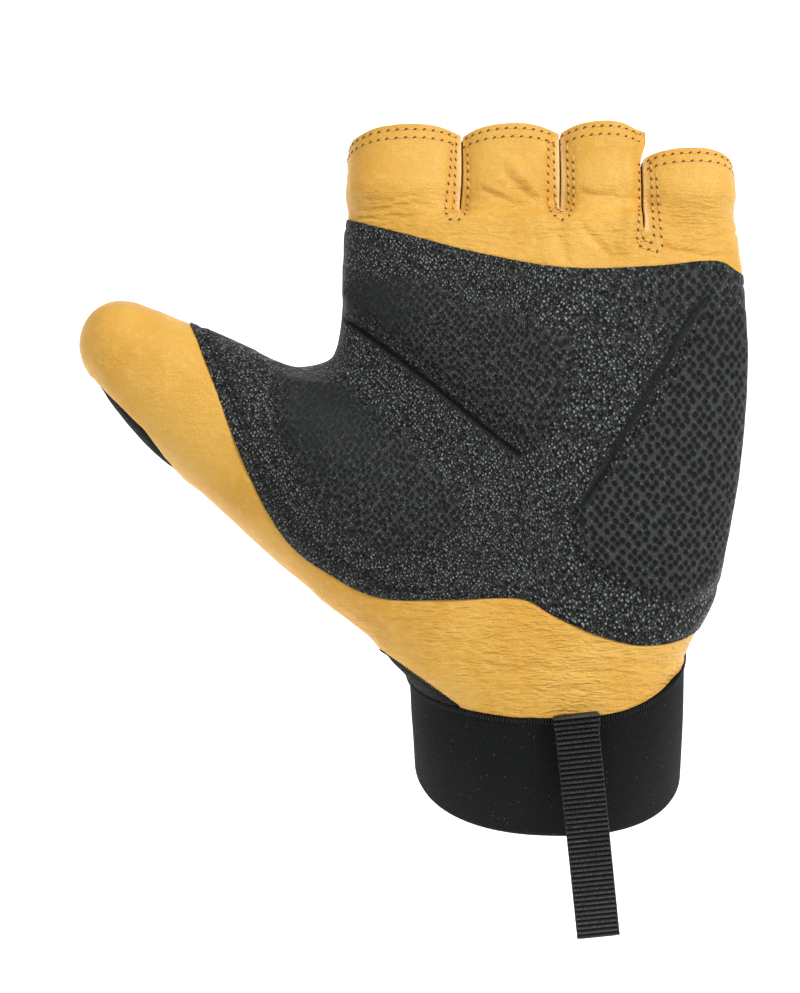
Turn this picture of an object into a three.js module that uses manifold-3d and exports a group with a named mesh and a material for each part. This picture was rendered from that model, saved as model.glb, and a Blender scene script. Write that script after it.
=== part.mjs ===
// Short-fingered cycling glove for a left hand, upright and worn, palm towards -Y.
// Millimetres, +Z up, fingers up, thumb towards -X. The origin is the middle of the cuff's lower rim.
import * as THREE from "three";
import { mergeVertices } from "three/addons/utils/BufferGeometryUtils.js";
import Module from "manifold-3d";

const wasm = await Module();
wasm.setup();

// Driving dimensions
const LEATHER = 1.5; // leather and stretch fabric wall
const OVERLAY = 1.3; // synthetic palm overlay
const PAD_RISE = 2.4; // padded fields above the overlay
const ELASTIC = 2.0; // woven wrist band wall
const GAP = 0.3; // between neighbouring pieces
const GLOVE_REACH = 80; // forms that cut run at least this far, beyond every side of the glove
const WRIST_DIP = 30; // how far below the wrist seam the side seams' planes are carried on
const FINGER_REACH = 40; // and how far above the finger roots
const ROOT_HEIGHT = 131; // finger roots, where the slits end
const SIDE_SEAM = 3; // side seams lie this far behind the middle of the hand
const TAB = { width: 10, strap: 1.2, fold: 0.5, length: 57, slant: 6.2, lean: 20, x: 3.7, y: -38.9, z: 15.5 };

// Table rows are level sections of the hand, from the wrist up: the middle's height z and place y,
// the left and right edges, half the depth, the lean back in degrees, and the hollow of the palm.
const HAND_ROWS = [
  { z: 0.0, y: 0.0, left: -32.9, right: 32.9, depth: 25.0, lean: 38, hollow: 0 },
  { z: 12.5, y: -8.7, left: -33.2, right: 32.7, depth: 24.4, lean: 33, hollow: 0 },
  { z: 25.5, y: -16.0, left: -33.8, right: 32.2, depth: 23.4, lean: 28, hollow: 0 },
  { z: 32.0, y: -19.0, left: -41.5, right: 32.0, depth: 21.0, lean: 22, hollow: 0 },
  { z: 42.0, y: -21.8, left: -46.0, right: 36.3, depth: 18.4, lean: 14, hollow: 1 },
  { z: 56.0, y: -23.4, left: -47.0, right: 39.8, depth: 16.8, lean: 7, hollow: 2 },
  { z: 75.0, y: -23.8, left: -47.0, right: 42.4, depth: 15.4, lean: 2, hollow: 2 },
  { z: 95.0, y: -23.4, left: -47.6, right: 43.8, depth: 14.3, lean: -3, hollow: 1 },
  { z: 113.0, y: -22.2, left: -48.2, right: 43.6, depth: 13.6, lean: -7, hollow: 0 },
  { z: 131.0, y: -19.6, left: -48.6, right: 43.4, depth: 12.6, lean: -10, hollow: 0 },
];
const WRIST_ROW = 2; // the row on the seam between the cuff and the leather
const HAND_POWER = 2.3; // squareness of a hand section, where 2 is an ellipse

// Table rows are the fingers: edges at the root and at the rim, the rim's height and its roll.
const FINGERS = [
  { name: "index", left: -48.9, right: -23.8, rimLeft: -48.0, rimRight: -21.5, rim: 150.4, roll: -9 },
  { name: "middle", left: -23.4, right: 1.6, rimLeft: -21.0, rimRight: 1.5, rim: 151.6, roll: 0 },
  { name: "ring", left: 2.0, right: 22.4, rimLeft: 2.0, rimRight: 21.2, rim: 152.2, roll: 2 },
  { name: "little", left: 22.8, right: 43.6, rimLeft: 22.0, rimRight: 42.8, rim: 145.2, roll: 6 },
];
const FINGER_DEPTH = { root: 12.0, rim: 11.2 }; // half depth
const FINGER_LEAN = 10; // degrees back
const FINGER_FOOT = 14; // how far a finger's form runs down inside the hand
const FOOT_INSET = 2.5; // how much smaller it is all round down there

// Table rows are sections of the thumb along its axis, from inside the palm to the tip's centre:
// the distance from the tip's centre, the upper and lower edges, the place y and half the depth.
const THUMB_ROWS = [
  { along: 88.0, upper: 18.0, lower: 27.5, y: -24.0, depth: 13.0 },
  { along: 70.5, upper: 20.0, lower: 26.6, y: -25.0, depth: 15.4 },
  { along: 52.0, upper: 20.0, lower: 24.0, y: -27.5, depth: 15.6 },
  { along: 35.3, upper: 16.4, lower: 20.6, y: -30.5, depth: 14.2 },
  { along: 16.5, upper: 13.0, lower: 15.8, y: -33.0, depth: 12.4 },
  { along: 0.0, upper: 10.3, lower: 10.3, y: -34.0, depth: 10.6 },
];
const THUMB_TIP = { x: -101.3, z: 101.5, radius: 10.3 };
const THUMB_DROP = THREE.MathUtils.degToRad(31.5); // axis below the level, towards the palm
// The thumb's side seams join the hand's at this distance from the tip's centre and this place y,
// and part the glove from this far below the thumb's axis to the web above it.
const THUMB_SEAM = { end: 64, y: -18, below: 60, above: 25, margin: 30 };

// Outlines seen from the palm side, x and z, as the corner and turning points of smooth curves.
const PATCH_OUTLINE = [
  [-60, 131.5], [-48.9, 130.3], [-17.6, 122.4], [2.6, 118.7], [22.1, 119.4], [36.7, 120.5], [60, 118],
  [60, 60], [41, 46], [31.6, 34], [20.9, 31.2], [10.2, 33.3], [-0.7, 38.4], [-8.8, 42.1],
  [-24.8, 42.4], [-40.6, 41.9], [-52.6, 47.7], [-63.1, 56], [-72.4, 72.7], [-80, 93.6], [-84.9, 106],
  [-90, 118],
];
const PAD_OUTLINES = {
  pad_index: [
    [-54, 119], [-36.9, 118.9], [-17.6, 113.6], [5, 104.6], [7.4, 100.8], [3.5, 85.5], [-4, 75.5],
    [-8.1, 75.1], [-21.6, 85], [-38.7, 99.2], [-54, 110],
  ],
  pad_thumb: [
    [-65.4, 96], [-50.3, 94.8], [-36.4, 83.6], [-23.6, 70.9], [-19.7, 62.8], [-23.6, 54.6],
    [-31.8, 51.2], [-41, 50.7], [-49.2, 54.6], [-57.3, 62.8], [-63.8, 73.2], [-67, 83.6], [-67, 91.8],
  ],
  pad_heel: [
    [33.5, 109], [23.9, 93.2], [15.3, 79.2], [4.7, 66.9], [1.4, 59.1], [4, 51.5], [12.1, 45.6],
    [24.4, 40], [31.6, 40.3], [44, 50], [60, 60], [60, 110], [45, 111.5],
  ],
};

// Where the stretch fabric shows from the palm side: along the thumb's lower edge and at the wrist.
const THUMB_SLIVER = [
  [-107.2, 92.2], [-104.6, 89.4], [-96, 81.6], [-86.7, 71.1], [-84, 62], [-112, 66], [-122, 96],
];
const WRIST_SLIVER = [
  [-46, 34], [-36.4, 29.5], [-27.6, 22.5], [-22.9, 17.5], [-21, 8], [-60, 8], [-60, 34],
];

// The thumb's own panels end at a seam round its base, here as the space that holds the thumb.
const THUMB_END = [
  [-88, 46.5], [-55.7, 99.4], [-55.7, 125], [-150, 125], [-150, 46.5],
];

// Bend a smooth curve through each row's values, so that a table gives sections at any level.
const through = (values) => new THREE.CatmullRomCurve3(values.map((v) => new THREE.Vector3(...v)));

// A closed body with one ring of points for each section. A section gives the point at the middle,
// the vectors to its right edge and to its back, its squareness and its hollow.
function loft(sections, sides) {
  const body = new THREE.CylinderGeometry(1, 1, 1, sides, sections.length - 1);
  const points = body.getAttribute("position");
  for (let i = 0; i < points.count; i += 1) {
    const level = Math.round((points.getY(i) + 0.5) * (sections.length - 1));
    const { middle, side, back, power, hollow } = sections[level];
    const squared = (v) => Math.sign(v) * Math.abs(v) ** (2 / power);
    const across = squared(points.getX(i));
    const behind = squared(-points.getZ(i));
    const pressed = behind < -0.01 ? (hollow * (1 - across ** 2) ** 2) / back.length() : 0;
    const point = middle.clone();
    point.addScaledVector(side, across);
    point.addScaledVector(back, behind + pressed);
    points.setXYZ(i, point.x, point.y, point.z);
  }
  return body;
}

// A three.js geometry as a solid that can be joined and cut.
function solid(geometry) {
  const bare = new THREE.BufferGeometry();
  bare.setAttribute("position", geometry.getAttribute("position"));
  bare.setIndex(geometry.getIndex());
  const merged = mergeVertices(bare, 1e-4);
  const index = merged.getIndex() ?? { array: [...merged.getAttribute("position").array.keys()] };
  return new wasm.Manifold(
    new wasm.Mesh({
      numProp: 3,
      vertProperties: merged.getAttribute("position").array,
      triVerts: new Uint32Array(index.array),
    }),
  );
}

const degrees = THREE.MathUtils.degToRad;

// The hand's form from the table, grown outwards by some millimetres, between two levels 0 to 1.
function handSections(grow, from, to, count) {
  const middle = through(HAND_ROWS.map((row) => [row.z, row.y, row.lean]));
  const reach = through(HAND_ROWS.map((row) => [row.left, row.right, row.depth]));
  const hollow = through(HAND_ROWS.map((row) => [row.hollow, 0, 0]));
  return Array.from({ length: count }, (_, i) => {
    const level = from + ((to - from) * i) / (count - 1);
    const place = middle.getPoint(level);
    const size = reach.getPoint(level);
    const lean = degrees(place.z);
    return {
      middle: new THREE.Vector3((size.x + size.y) / 2, place.y, place.x),
      side: new THREE.Vector3((size.y - size.x) / 2 + grow, 0, 0),
      back: new THREE.Vector3(0, Math.cos(lean), Math.sin(lean)).multiplyScalar(size.z + grow),
      power: HAND_POWER,
      hollow: hollow.getPoint(level).x,
    };
  });
}

// Carry a form on past both its ends, so that it cuts right through the openings there.
function runOn(sections, before, after) {
  const first = sections[0];
  const last = sections[sections.length - 1];
  const moved = (section, distance) => {
    const upward = section.side.clone().cross(section.back).normalize();
    return { ...section, middle: section.middle.clone().addScaledVector(upward, distance) };
  };
  return [moved(first, -before), ...sections, moved(last, after)];
}

// One finger's form, from inside the hand to its rim, grown outwards by some millimetres.
function fingerSections(finger, grow) {
  const lean = degrees(-FINGER_LEAN);
  const root = HAND_ROWS[HAND_ROWS.length - 1];
  const rise = [-FINGER_FOOT, 0, (finger.rim - ROOT_HEIGHT) / 2, finger.rim - ROOT_HEIGHT];
  return rise.map((height) => {
    const share = Math.max(0, height) / (finger.rim - ROOT_HEIGHT);
    const inset = height < 0 ? FOOT_INSET : 0;
    const left = THREE.MathUtils.lerp(finger.left, finger.rimLeft, share) + inset;
    const right = THREE.MathUtils.lerp(finger.right, finger.rimRight, share) - inset;
    const depth = THREE.MathUtils.lerp(FINGER_DEPTH.root, FINGER_DEPTH.rim, share) - inset;
    const roll = degrees(finger.roll * share);
    const y = root.y - height * Math.tan(lean);
    return {
      middle: new THREE.Vector3((left + right) / 2, y, ROOT_HEIGHT + height),
      side: new THREE.Vector3(1, 0, -Math.tan(roll)).multiplyScalar((right - left) / 2 + grow),
      back: new THREE.Vector3(0, Math.cos(lean), Math.sin(lean)).multiplyScalar(depth + grow),
      power: 2.2,
      hollow: 0,
    };
  });
}

// The thumb's form: the table's sections square to its axis, closed by a round tip.
function thumbSections(grow) {
  const toTip = new THREE.Vector3(-Math.cos(THUMB_DROP), 0, Math.sin(THUMB_DROP));
  const upward = new THREE.Vector3(Math.sin(THUMB_DROP), 0, Math.cos(THUMB_DROP));
  const back = new THREE.Vector3(0, 1, 0);
  const section = (along, upper, lower, y, depth) => ({
    middle: new THREE.Vector3(THUMB_TIP.x, y, THUMB_TIP.z)
      .addScaledVector(toTip, -along)
      .addScaledVector(upward, (upper - lower) / 2),
    side: upward.clone().multiplyScalar((upper + lower) / 2 + grow),
    back: back.clone().multiplyScalar(depth + grow),
    power: 2.1,
    hollow: 0,
  });
  const shaft = THUMB_ROWS.map((row) => section(row.along, row.upper, row.lower, row.y, row.depth));
  const last = THUMB_ROWS[THUMB_ROWS.length - 1];
  const tip = [30, 55, 78].map((turn) => {
    const across = Math.cos(degrees(turn));
    const beyond = (THUMB_TIP.radius + grow) * Math.sin(degrees(turn));
    const radius = (THUMB_TIP.radius + grow) * across - grow;
    const depth = (last.depth + grow) * across - grow;
    return section(-beyond, radius, radius, last.y, depth);
  });
  return [...shaft, ...tip];
}

const HAND_LEVELS = 12;
const HAND_SIDES = 32;
const THUMB_SIDES = 22;
const FINGER_SIDES = 20;
const ROOF_LEVEL = 0.985; // the hand's hollow ends here, under the roof between the fingers
const wristLevel = WRIST_ROW / (HAND_ROWS.length - 1);

const handForm = (grow) => solid(loft(handSections(grow, wristLevel, 1, HAND_LEVELS), HAND_SIDES));
const fingerForm = (finger, grow) => solid(loft(fingerSections(finger, grow), FINGER_SIDES));
const thumbForm = (grow) => solid(loft(thumbSections(grow), THUMB_SIDES));

const X_AXIS = new THREE.Vector3(1, 0, 0);
const Y_AXIS = new THREE.Vector3(0, 1, 0);
const Z_AXIS = new THREE.Vector3(0, 0, 1);

// A prism of a flat shape drawn along two axes, from one distance to another along the third.
function prism(shape, across, upward, from, to) {
  const form = new THREE.ExtrudeGeometry(shape, { depth: to - from, bevelEnabled: false });
  form.translate(0, 0, from);
  const away = across.clone().cross(upward);
  form.applyMatrix4(new THREE.Matrix4().makeBasis(across, upward, away));
  return form;
}

// An outline seen from the palm side, through the whole depth of the glove.
function frontPrism(points, smooth) {
  const corners = points.map(([x, z]) => new THREE.Vector3(x, z, 0));
  const around = new THREE.CatmullRomCurve3(corners, true, "centripetal");
  const outline = smooth ? around.getPoints(corners.length * 2) : corners;
  const shape = new THREE.Shape(outline.map((point) => new THREE.Vector2(point.x, point.y)));
  return solid(prism(shape, X_AXIS, Z_AXIS, -GLOVE_REACH, GLOVE_REACH));
}

// Everything in front of the side seams, which follow the middle of the hand and of the fingers.
function frontOfSeams(shift) {
  const rows = HAND_ROWS.slice(WRIST_ROW);
  const wrist = rows[0];
  const root = rows[rows.length - 1];
  const seam = (row, rise) =>
    row.y + SIDE_SEAM + shift - rise * Math.tan(degrees(row.lean));
  const shape = new THREE.Shape();
  shape.moveTo(-GLOVE_REACH, wrist.z - WRIST_DIP);
  shape.lineTo(seam(wrist, -WRIST_DIP), wrist.z - WRIST_DIP);
  for (const row of rows) {
    shape.lineTo(seam(row, 0), row.z);
  }
  shape.lineTo(seam(root, FINGER_REACH), root.z + FINGER_REACH);
  shape.lineTo(-GLOVE_REACH, root.z + FINGER_REACH);
  return solid(prism(shape, Y_AXIS, Z_AXIS, -2 * GLOVE_REACH, GLOVE_REACH));
}

// Everything behind the thumb's side seams, which follow the middle of the thumb.
function behindThumbSeams(shift) {
  const seam = THUMB_ROWS.filter((row) => row.along < THUMB_SEAM.end).reverse();
  const shape = new THREE.Shape();
  shape.moveTo(-THUMB_SEAM.margin, seam[0].y + SIDE_SEAM + shift);
  for (const row of seam) {
    shape.lineTo(row.along, row.y + SIDE_SEAM + shift);
  }
  shape.lineTo(THUMB_SEAM.end, THUMB_SEAM.y + shift);
  shape.lineTo(THUMB_SEAM.end, GLOVE_REACH);
  shape.lineTo(-THUMB_SEAM.margin, GLOVE_REACH);
  const inwards = new THREE.Vector3(Math.cos(THUMB_DROP), 0, -Math.sin(THUMB_DROP));
  const slab = prism(shape, inwards, Y_AXIS, -THUMB_SEAM.below, THUMB_SEAM.above);
  slab.translate(THUMB_TIP.x, 0, THUMB_TIP.z);
  return solid(slab);
}

// A block with its near face on a point, square to a direction, reaching away along it.
function blockBeyond(point, direction) {
  const block = new THREE.BoxGeometry(400, 400, 400);
  block.translate(0, 0, 200);
  const turn = new THREE.Quaternion().setFromUnitVectors(new THREE.Vector3(0, 0, 1), direction);
  block.applyQuaternion(turn);
  block.translate(point.x, point.y, point.z);
  return solid(block);
}

// Walls of the hand with open finger roots and an open wrist, still in one piece
const rootMiddle = new THREE.Vector3(0, HAND_ROWS[HAND_ROWS.length - 1].y, ROOT_HEIGHT);
const fingerWay = new THREE.Vector3(0, Math.sin(degrees(FINGER_LEAN)), Math.cos(degrees(FINGER_LEAN)));
const aboveRoots = blockBeyond(rootMiddle, fingerWay);
const clearOfRoots = blockBeyond(rootMiddle.clone().addScaledVector(fingerWay, GAP), fingerWay);
const handSpace = handSections(-LEATHER, wristLevel, ROOF_LEVEL, HAND_LEVELS);
const palmInner = solid(loft(runOn(handSpace, 6, 0.1), HAND_SIDES)).add(thumbForm(-LEATHER));
const fingerHoles = FINGERS.map((finger) =>
  solid(loft(runOn(fingerSections(finger, -LEATHER), 0.5, 8), FINGER_SIDES)),
);
const wholeForm = (grow) =>
  FINGERS.reduce(
    (form, finger) => form.add(fingerForm(finger, grow)),
    handForm(grow).add(thumbForm(grow)),
  );
let handWall = wholeForm(0).subtract(aboveRoots).subtract(palmInner);
for (const hole of fingerHoles) {
  handWall = handWall.subtract(hole);
}

// The two sides of every wall, parted along the seams with the gap between them
const slivers = frontPrism(THUMB_SLIVER, false).add(frontPrism(WRIST_SLIVER, false));
const sliversWide = slivers.add(slivers.translate([GAP, 0, GAP]));
const frontSpace = frontOfSeams(0).subtract(behindThumbSeams(0)).subtract(sliversWide);
const notBack = frontOfSeams(GAP).subtract(behindThumbSeams(GAP)).subtract(slivers);

const thumbEnd = frontPrism(THUMB_END, false);
const thumbEndWide = thumbEnd.add(thumbEnd.translate([GAP, 0, -GAP]));

const glove = new THREE.Group();

// Add a solid to the glove as a named mesh with its own material.
function piece(name, body, look) {
  const { vertProperties, triVerts } = body.getMesh();
  const geometry = new THREE.BufferGeometry();
  geometry.setAttribute("position", new THREE.BufferAttribute(vertProperties, 3));
  geometry.setIndex(new THREE.BufferAttribute(triVerts, 1));
  geometry.computeVertexNormals();
  const mesh = new THREE.Mesh(geometry, new THREE.MeshStandardMaterial({ ...look, metalness: 0 }));
  mesh.name = name;
  glove.add(mesh);
}

const TAN_LEATHER = { color: 0xe8b052, roughness: 0.5 };
const STRETCH_FABRIC = { color: 0x1c1e1d, roughness: 0.85 };
const PITTED_OVERLAY = { color: 0x2e3130, roughness: 0.6 };
const BLACK_ELASTIC = { color: 0x1a1c1b, roughness: 0.9 };
const BLACK_WEBBING = { color: 0x232523, roughness: 0.8 };

piece("palm_leather", handWall.intersect(frontSpace).subtract(thumbEndWide), TAN_LEATHER);
piece("thumb_front", handWall.intersect(frontSpace).intersect(thumbEnd), TAN_LEATHER);
piece("hand_back", handWall.subtract(notBack).subtract(thumbEndWide), STRETCH_FABRIC);
piece("thumb_back", handWall.subtract(notBack).intersect(thumbEnd), STRETCH_FABRIC);

// Short open fingers, each of a leather side and a fabric side
FINGERS.forEach((finger, i) => {
  const wall = fingerForm(finger, 0).subtract(fingerHoles[i]).intersect(clearOfRoots);
  piece(`${finger.name}_front`, wall.intersect(frontSpace), TAN_LEATHER);
  piece(`${finger.name}_back`, wall.subtract(notBack), STRETCH_FABRIC);
});

// The overlay lies on the leather, and its padded fields are raised on it.
const onLeather = wholeForm(GAP);
const overlayFace = wholeForm(GAP + OVERLAY);
const onOverlay = wholeForm(GAP + OVERLAY + GAP);
const padFace = wholeForm(GAP + OVERLAY + GAP + PAD_RISE);
const patch = overlayFace.subtract(onLeather).intersect(frontPrism(PATCH_OUTLINE, true));
piece("palm_patch", patch.intersect(frontSpace), PITTED_OVERLAY);
for (const [name, outline] of Object.entries(PAD_OUTLINES)) {
  const field = padFace.subtract(onOverlay).intersect(frontPrism(outline, true));
  piece(name, field.intersect(frontSpace), PITTED_OVERLAY);
}

// The elastic band round the wrist
const CUFF_LEVELS = 6;
const bandTop = wristLevel - 0.003;
const bandOuter = solid(loft(handSections(0, 0, bandTop, CUFF_LEVELS), HAND_SIDES));
const bandSpace = runOn(handSections(-ELASTIC, 0, bandTop, CUFF_LEVELS), 5, 5);
piece("cuff", bandOuter.subtract(solid(loft(bandSpace, HAND_SIDES))), BLACK_ELASTIC);

// The webbing loop: two straps that part a little and meet in a round fold at the bottom
function pullTab() {
  const inside = TAB.fold / 2;
  const outside = inside + TAB.strap;
  const turn = -TAB.length + outside;
  const loop = new THREE.Shape();
  loop.moveTo(-outside, 0);
  loop.lineTo(-outside, turn);
  loop.absarc(0, turn, outside, Math.PI, 2 * Math.PI, false);
  loop.lineTo(outside, 0);
  loop.lineTo(inside, 0);
  loop.lineTo(inside, turn);
  loop.absarc(0, turn, inside, 2 * Math.PI, Math.PI, true);
  loop.lineTo(-inside, 0);
  const strip = prism(loop, Y_AXIS, Z_AXIS, -TAB.width / 2, TAB.width / 2);
  strip.rotateY(degrees(-TAB.slant));
  strip.rotateX(degrees(TAB.lean));
  strip.translate(TAB.x, TAB.y, TAB.z);
  return solid(strip);
}
piece("pull_tab", pullTab(), BLACK_WEBBING);

export default glove;
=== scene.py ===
import math

import bmesh
import bpy
import numpy as np
from mathutils import Matrix, Vector, noise
from mathutils.bvhtree import BVHTree


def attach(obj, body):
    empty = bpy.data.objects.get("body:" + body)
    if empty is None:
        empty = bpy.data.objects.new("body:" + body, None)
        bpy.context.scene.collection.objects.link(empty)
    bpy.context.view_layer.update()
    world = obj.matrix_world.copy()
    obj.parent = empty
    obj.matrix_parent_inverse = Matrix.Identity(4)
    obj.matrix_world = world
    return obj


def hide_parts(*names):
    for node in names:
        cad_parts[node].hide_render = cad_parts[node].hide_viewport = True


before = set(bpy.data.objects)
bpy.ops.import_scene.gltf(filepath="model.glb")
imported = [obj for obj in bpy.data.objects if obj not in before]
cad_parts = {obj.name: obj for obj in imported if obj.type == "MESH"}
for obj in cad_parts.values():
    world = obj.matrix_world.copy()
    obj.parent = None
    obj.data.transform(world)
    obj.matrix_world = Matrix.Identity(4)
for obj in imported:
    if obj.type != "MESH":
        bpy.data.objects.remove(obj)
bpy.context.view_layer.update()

MM = 0.001

# Camera
# The photograph looks level at the palm from about 0.65 m, with the eye opposite the middle of the
# picture. Every place below is in millimetres in the frame's own axes, palm towards -Y.
PICTURE = (800, 993)
PIXEL = 0.238
EYE = np.array((-36.4, -670.0, 65.9))
PALM_MIDDLE = -20.0
SENSOR = 36.0

camera = bpy.data.objects.new("camera", bpy.data.cameras.new("camera"))
bpy.context.scene.collection.objects.link(camera)
camera.location = EYE * MM
camera.rotation_euler = (math.radians(90), 0, 0)
camera.data.sensor_width = SENSOR
camera.data.lens = SENSOR * (PALM_MIDDLE - EYE[1]) / (PICTURE[1] * PIXEL)
camera.data.clip_start = 0.05
bpy.context.scene.camera = camera

# Worn form
# Leather, stretch fabric and overlay all follow one form, the glove as a hand fills it. It is lofted
# through sections of the hand, the four short fingers and the thumb, then fused and smoothed.
HAND = [
    dict(z=0.0, y=0.0, left=-32.8, right=32.2, depth=25.0, lean=38, hollow=0),
    dict(z=12.5, y=-8.7, left=-33.6, right=31.9, depth=24.4, lean=33, hollow=0),
    dict(z=25.5, y=-16.0, left=-35.1, right=31.4, depth=23.4, lean=28, hollow=0),
    dict(z=32.0, y=-19.0, left=-42.2, right=32.4, depth=21.0, lean=22, hollow=0),
    dict(z=42.0, y=-21.8, left=-46.8, right=38.0, depth=18.4, lean=14, hollow=1),
    dict(z=56.0, y=-23.4, left=-47.0, right=41.0, depth=16.8, lean=7, hollow=2),
    dict(z=75.0, y=-23.8, left=-47.3, right=43.9, depth=15.4, lean=2, hollow=2),
    dict(z=95.0, y=-23.4, left=-51.7, right=45.3, depth=14.3, lean=-3, hollow=1),
    dict(z=113.0, y=-22.2, left=-50.1, right=45.3, depth=13.6, lean=-7, hollow=0),
    dict(z=131.0, y=-19.6, left=-50.2, right=44.1, depth=12.6, lean=-10, hollow=0),
]
HAND_POWER = 2.3
WRIST_LEVEL = 2 / 9
ROOT_ROW = HAND[-1]
FINGER_LEAN = math.radians(10)
FINGER_DEPTH = 12.4
FINGER_TAPER = 1.0
FINGER_POWER = (2.9, 0.6)
FINGER_FOOT = (-14, -2)
FOOT_INSET = 3.0
FINGERS = [
    dict(name="index", left=-50.3, right=-20.4, rim_left=-48.3, rim_right=-21.2, rim=151.85, roll=-1.5),
    dict(name="middle", left=-24.4, right=3.0, rim_left=-22.6, rim_right=1.9, rim=152.1, roll=-1.8),
    dict(name="ring", left=-0.8, right=22.0, rim_left=0.2, rim_right=21.2, rim=152.65, roll=-2.6),
    dict(name="little", left=18.4, right=44.1, rim_left=19.1, rim_right=42.7, rim=146.2, roll=-3.2),
]
RIM_DROP = 1.8
RIM_CURVE = 2.5
THUMB = [
    dict(along=88.0, upper=18.0, lower=28.9, y=-24.0, depth=13.0),
    dict(along=70.5, upper=18.9, lower=27.0, y=-25.0, depth=15.4),
    dict(along=52.0, upper=19.8, lower=23.8, y=-27.5, depth=15.6),
    dict(along=35.3, upper=16.1, lower=20.5, y=-30.5, depth=14.2),
    dict(along=16.5, upper=13.6, lower=17.2, y=-33.0, depth=12.4),
    dict(along=0.0, upper=10.3, lower=11.3, y=-34.0, depth=10.6),
]
THUMB_TIP = Vector((-101.1, 0, 101.4))
THUMB_DROP = math.radians(31.5)
THUMB_POWER = 2.1
TO_TIP = Vector((-math.cos(THUMB_DROP), 0, math.sin(THUMB_DROP)))
THUMB_UP = Vector((math.sin(THUMB_DROP), 0, math.cos(THUMB_DROP)))


def on_curve(around, t):
    """The value at a share between the middle two of four values, on a smooth curve through them all."""
    a, b, c, d = around
    return b + 0.5 * t * (c - a + t * (2 * a - 5 * b + 4 * c - d + t * (3 * (b - c) + d - a)))


def between(rows, level):
    """A smooth row between the rows of a table, at a level from 0 to 1."""
    place = min(max(level, 0), 1) * (len(rows) - 1)
    start = min(int(place), len(rows) - 2)
    around = [rows[min(max(start + step, 0), len(rows) - 1)] for step in (-1, 0, 1, 2)]
    return {key: on_curve([row[key] for row in around], place - start) for key in rows[0]}


def squared(angle, power):
    """The point of a rounded square of half width 1 at an angle."""
    across, behind = math.cos(angle), math.sin(angle)
    return (math.copysign(abs(across) ** (2 / power), across),
            math.copysign(abs(behind) ** (2 / power), behind))


def ring(bm, section, sides):
    """A ring of edges round a section, which is a middle, a side, a back, a squareness and a hollow."""
    middle, side, back, power, hollow = section
    verts = bmesh.ops.create_circle(bm, segments=sides, radius=1)["verts"]
    for v in verts:
        across, behind = squared(math.atan2(v.co.y, v.co.x), power)
        pressed = hollow * (1 - across**2) ** 2 if behind < 0 else 0
        v.co = (middle + side * across + back * behind + back.normalized() * pressed) * MM
    return list(dict.fromkeys(edge for v in verts for edge in v.link_edges))


def loft(bm, sections, sides):
    """A closed body bridged through the rings of its sections."""
    rings = [ring(bm, section, sides) for section in sections]
    for lower, upper in zip(rings, rings[1:]):
        bmesh.ops.bridge_loops(bm, edges=lower + upper)
    for end in (rings[0], rings[-1]):
        bmesh.ops.contextual_create(bm, geom=end)


def hand_section(level, grown=0.0):
    row = between(HAND, level)
    lean = math.radians(row["lean"])
    middle = Vector(((row["left"] + row["right"]) / 2, row["y"], row["z"]))
    side = Vector(((row["right"] - row["left"]) / 2 + grown, 0, 0))
    back = Vector((0, math.cos(lean), math.sin(lean))) * (row["depth"] + grown)
    return middle, side, back, HAND_POWER, row["hollow"]


def finger_section(finger, height):
    """A finger's section at a height above the roots. Its foot runs down inside the hand."""
    share = max(0, height) / (finger["rim"] - ROOT_ROW["z"])
    inset = FOOT_INSET if height < 0 else 0
    left = finger["left"] + (finger["rim_left"] - finger["left"]) * share + inset
    right = finger["right"] + (finger["rim_right"] - finger["right"]) * share - inset
    roll = math.radians(finger["roll"]) * share
    y = ROOT_ROW["y"] + height * math.tan(FINGER_LEAN)
    middle = Vector(((left + right) / 2, y, ROOT_ROW["z"] + height))
    side = Vector((1, 0, -math.tan(roll))) * (right - left) / 2
    depth = FINGER_DEPTH - FINGER_TAPER * share - inset
    back = Vector((0, math.cos(FINGER_LEAN), -math.sin(FINGER_LEAN))) * depth
    return middle, side, back, FINGER_POWER[0] - FINGER_POWER[1] * min(share, 1), 0


def thumb_section(along, upper, lower, y, depth):
    middle = THUMB_TIP - TO_TIP * along + THUMB_UP * (upper - lower) / 2 + Vector((0, y, 0))
    return middle, THUMB_UP * (upper + lower) / 2, Vector((0, depth, 0)), THUMB_POWER, 0


HAND_SIDES = 72
FINGER_SIDES = 48
WEB = Vector((-53.0, -24.0, 94.0))
WEB_REACH = 20.0
WEB_FILL = Vector((-51.0, -23.5, 91.4))
WEB_RADII = (14.0, 10.0, 6.6, 1 / MM)
form_mesh = bmesh.new()
loft(form_mesh, [hand_section(0.1 + 0.9 * i / 24) for i in range(25)], HAND_SIDES)
for finger in FINGERS:
    tall = finger["rim"] - ROOT_ROW["z"]
    heights = (*FINGER_FOOT, tall * 0.3, tall * 0.6, tall, tall * 1.6)
    loft(form_mesh, [finger_section(finger, height) for height in heights], FINGER_SIDES)
thumb_sections = [thumb_section(**between(THUMB, i / 15)) for i in range(16)]
TIP_ROW = THUMB[-1]
for turn in (18, 36, 54, 70, 82):
    across, beyond = math.cos(math.radians(turn)), math.sin(math.radians(turn))
    radius = TIP_ROW["upper"]
    thumb_sections.append(thumb_section(
        -radius * beyond, radius * across, radius * across, TIP_ROW["y"], TIP_ROW["depth"] * across))
loft(form_mesh, thumb_sections, FINGER_SIDES)
web_fill = Matrix.Translation(WEB_FILL * MM) @ Matrix.Diagonal(WEB_RADII) * MM
bmesh.ops.create_icosphere(form_mesh, subdivisions=3, radius=1, matrix=web_fill)
bmesh.ops.recalc_face_normals(form_mesh, faces=form_mesh.faces)


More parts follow.
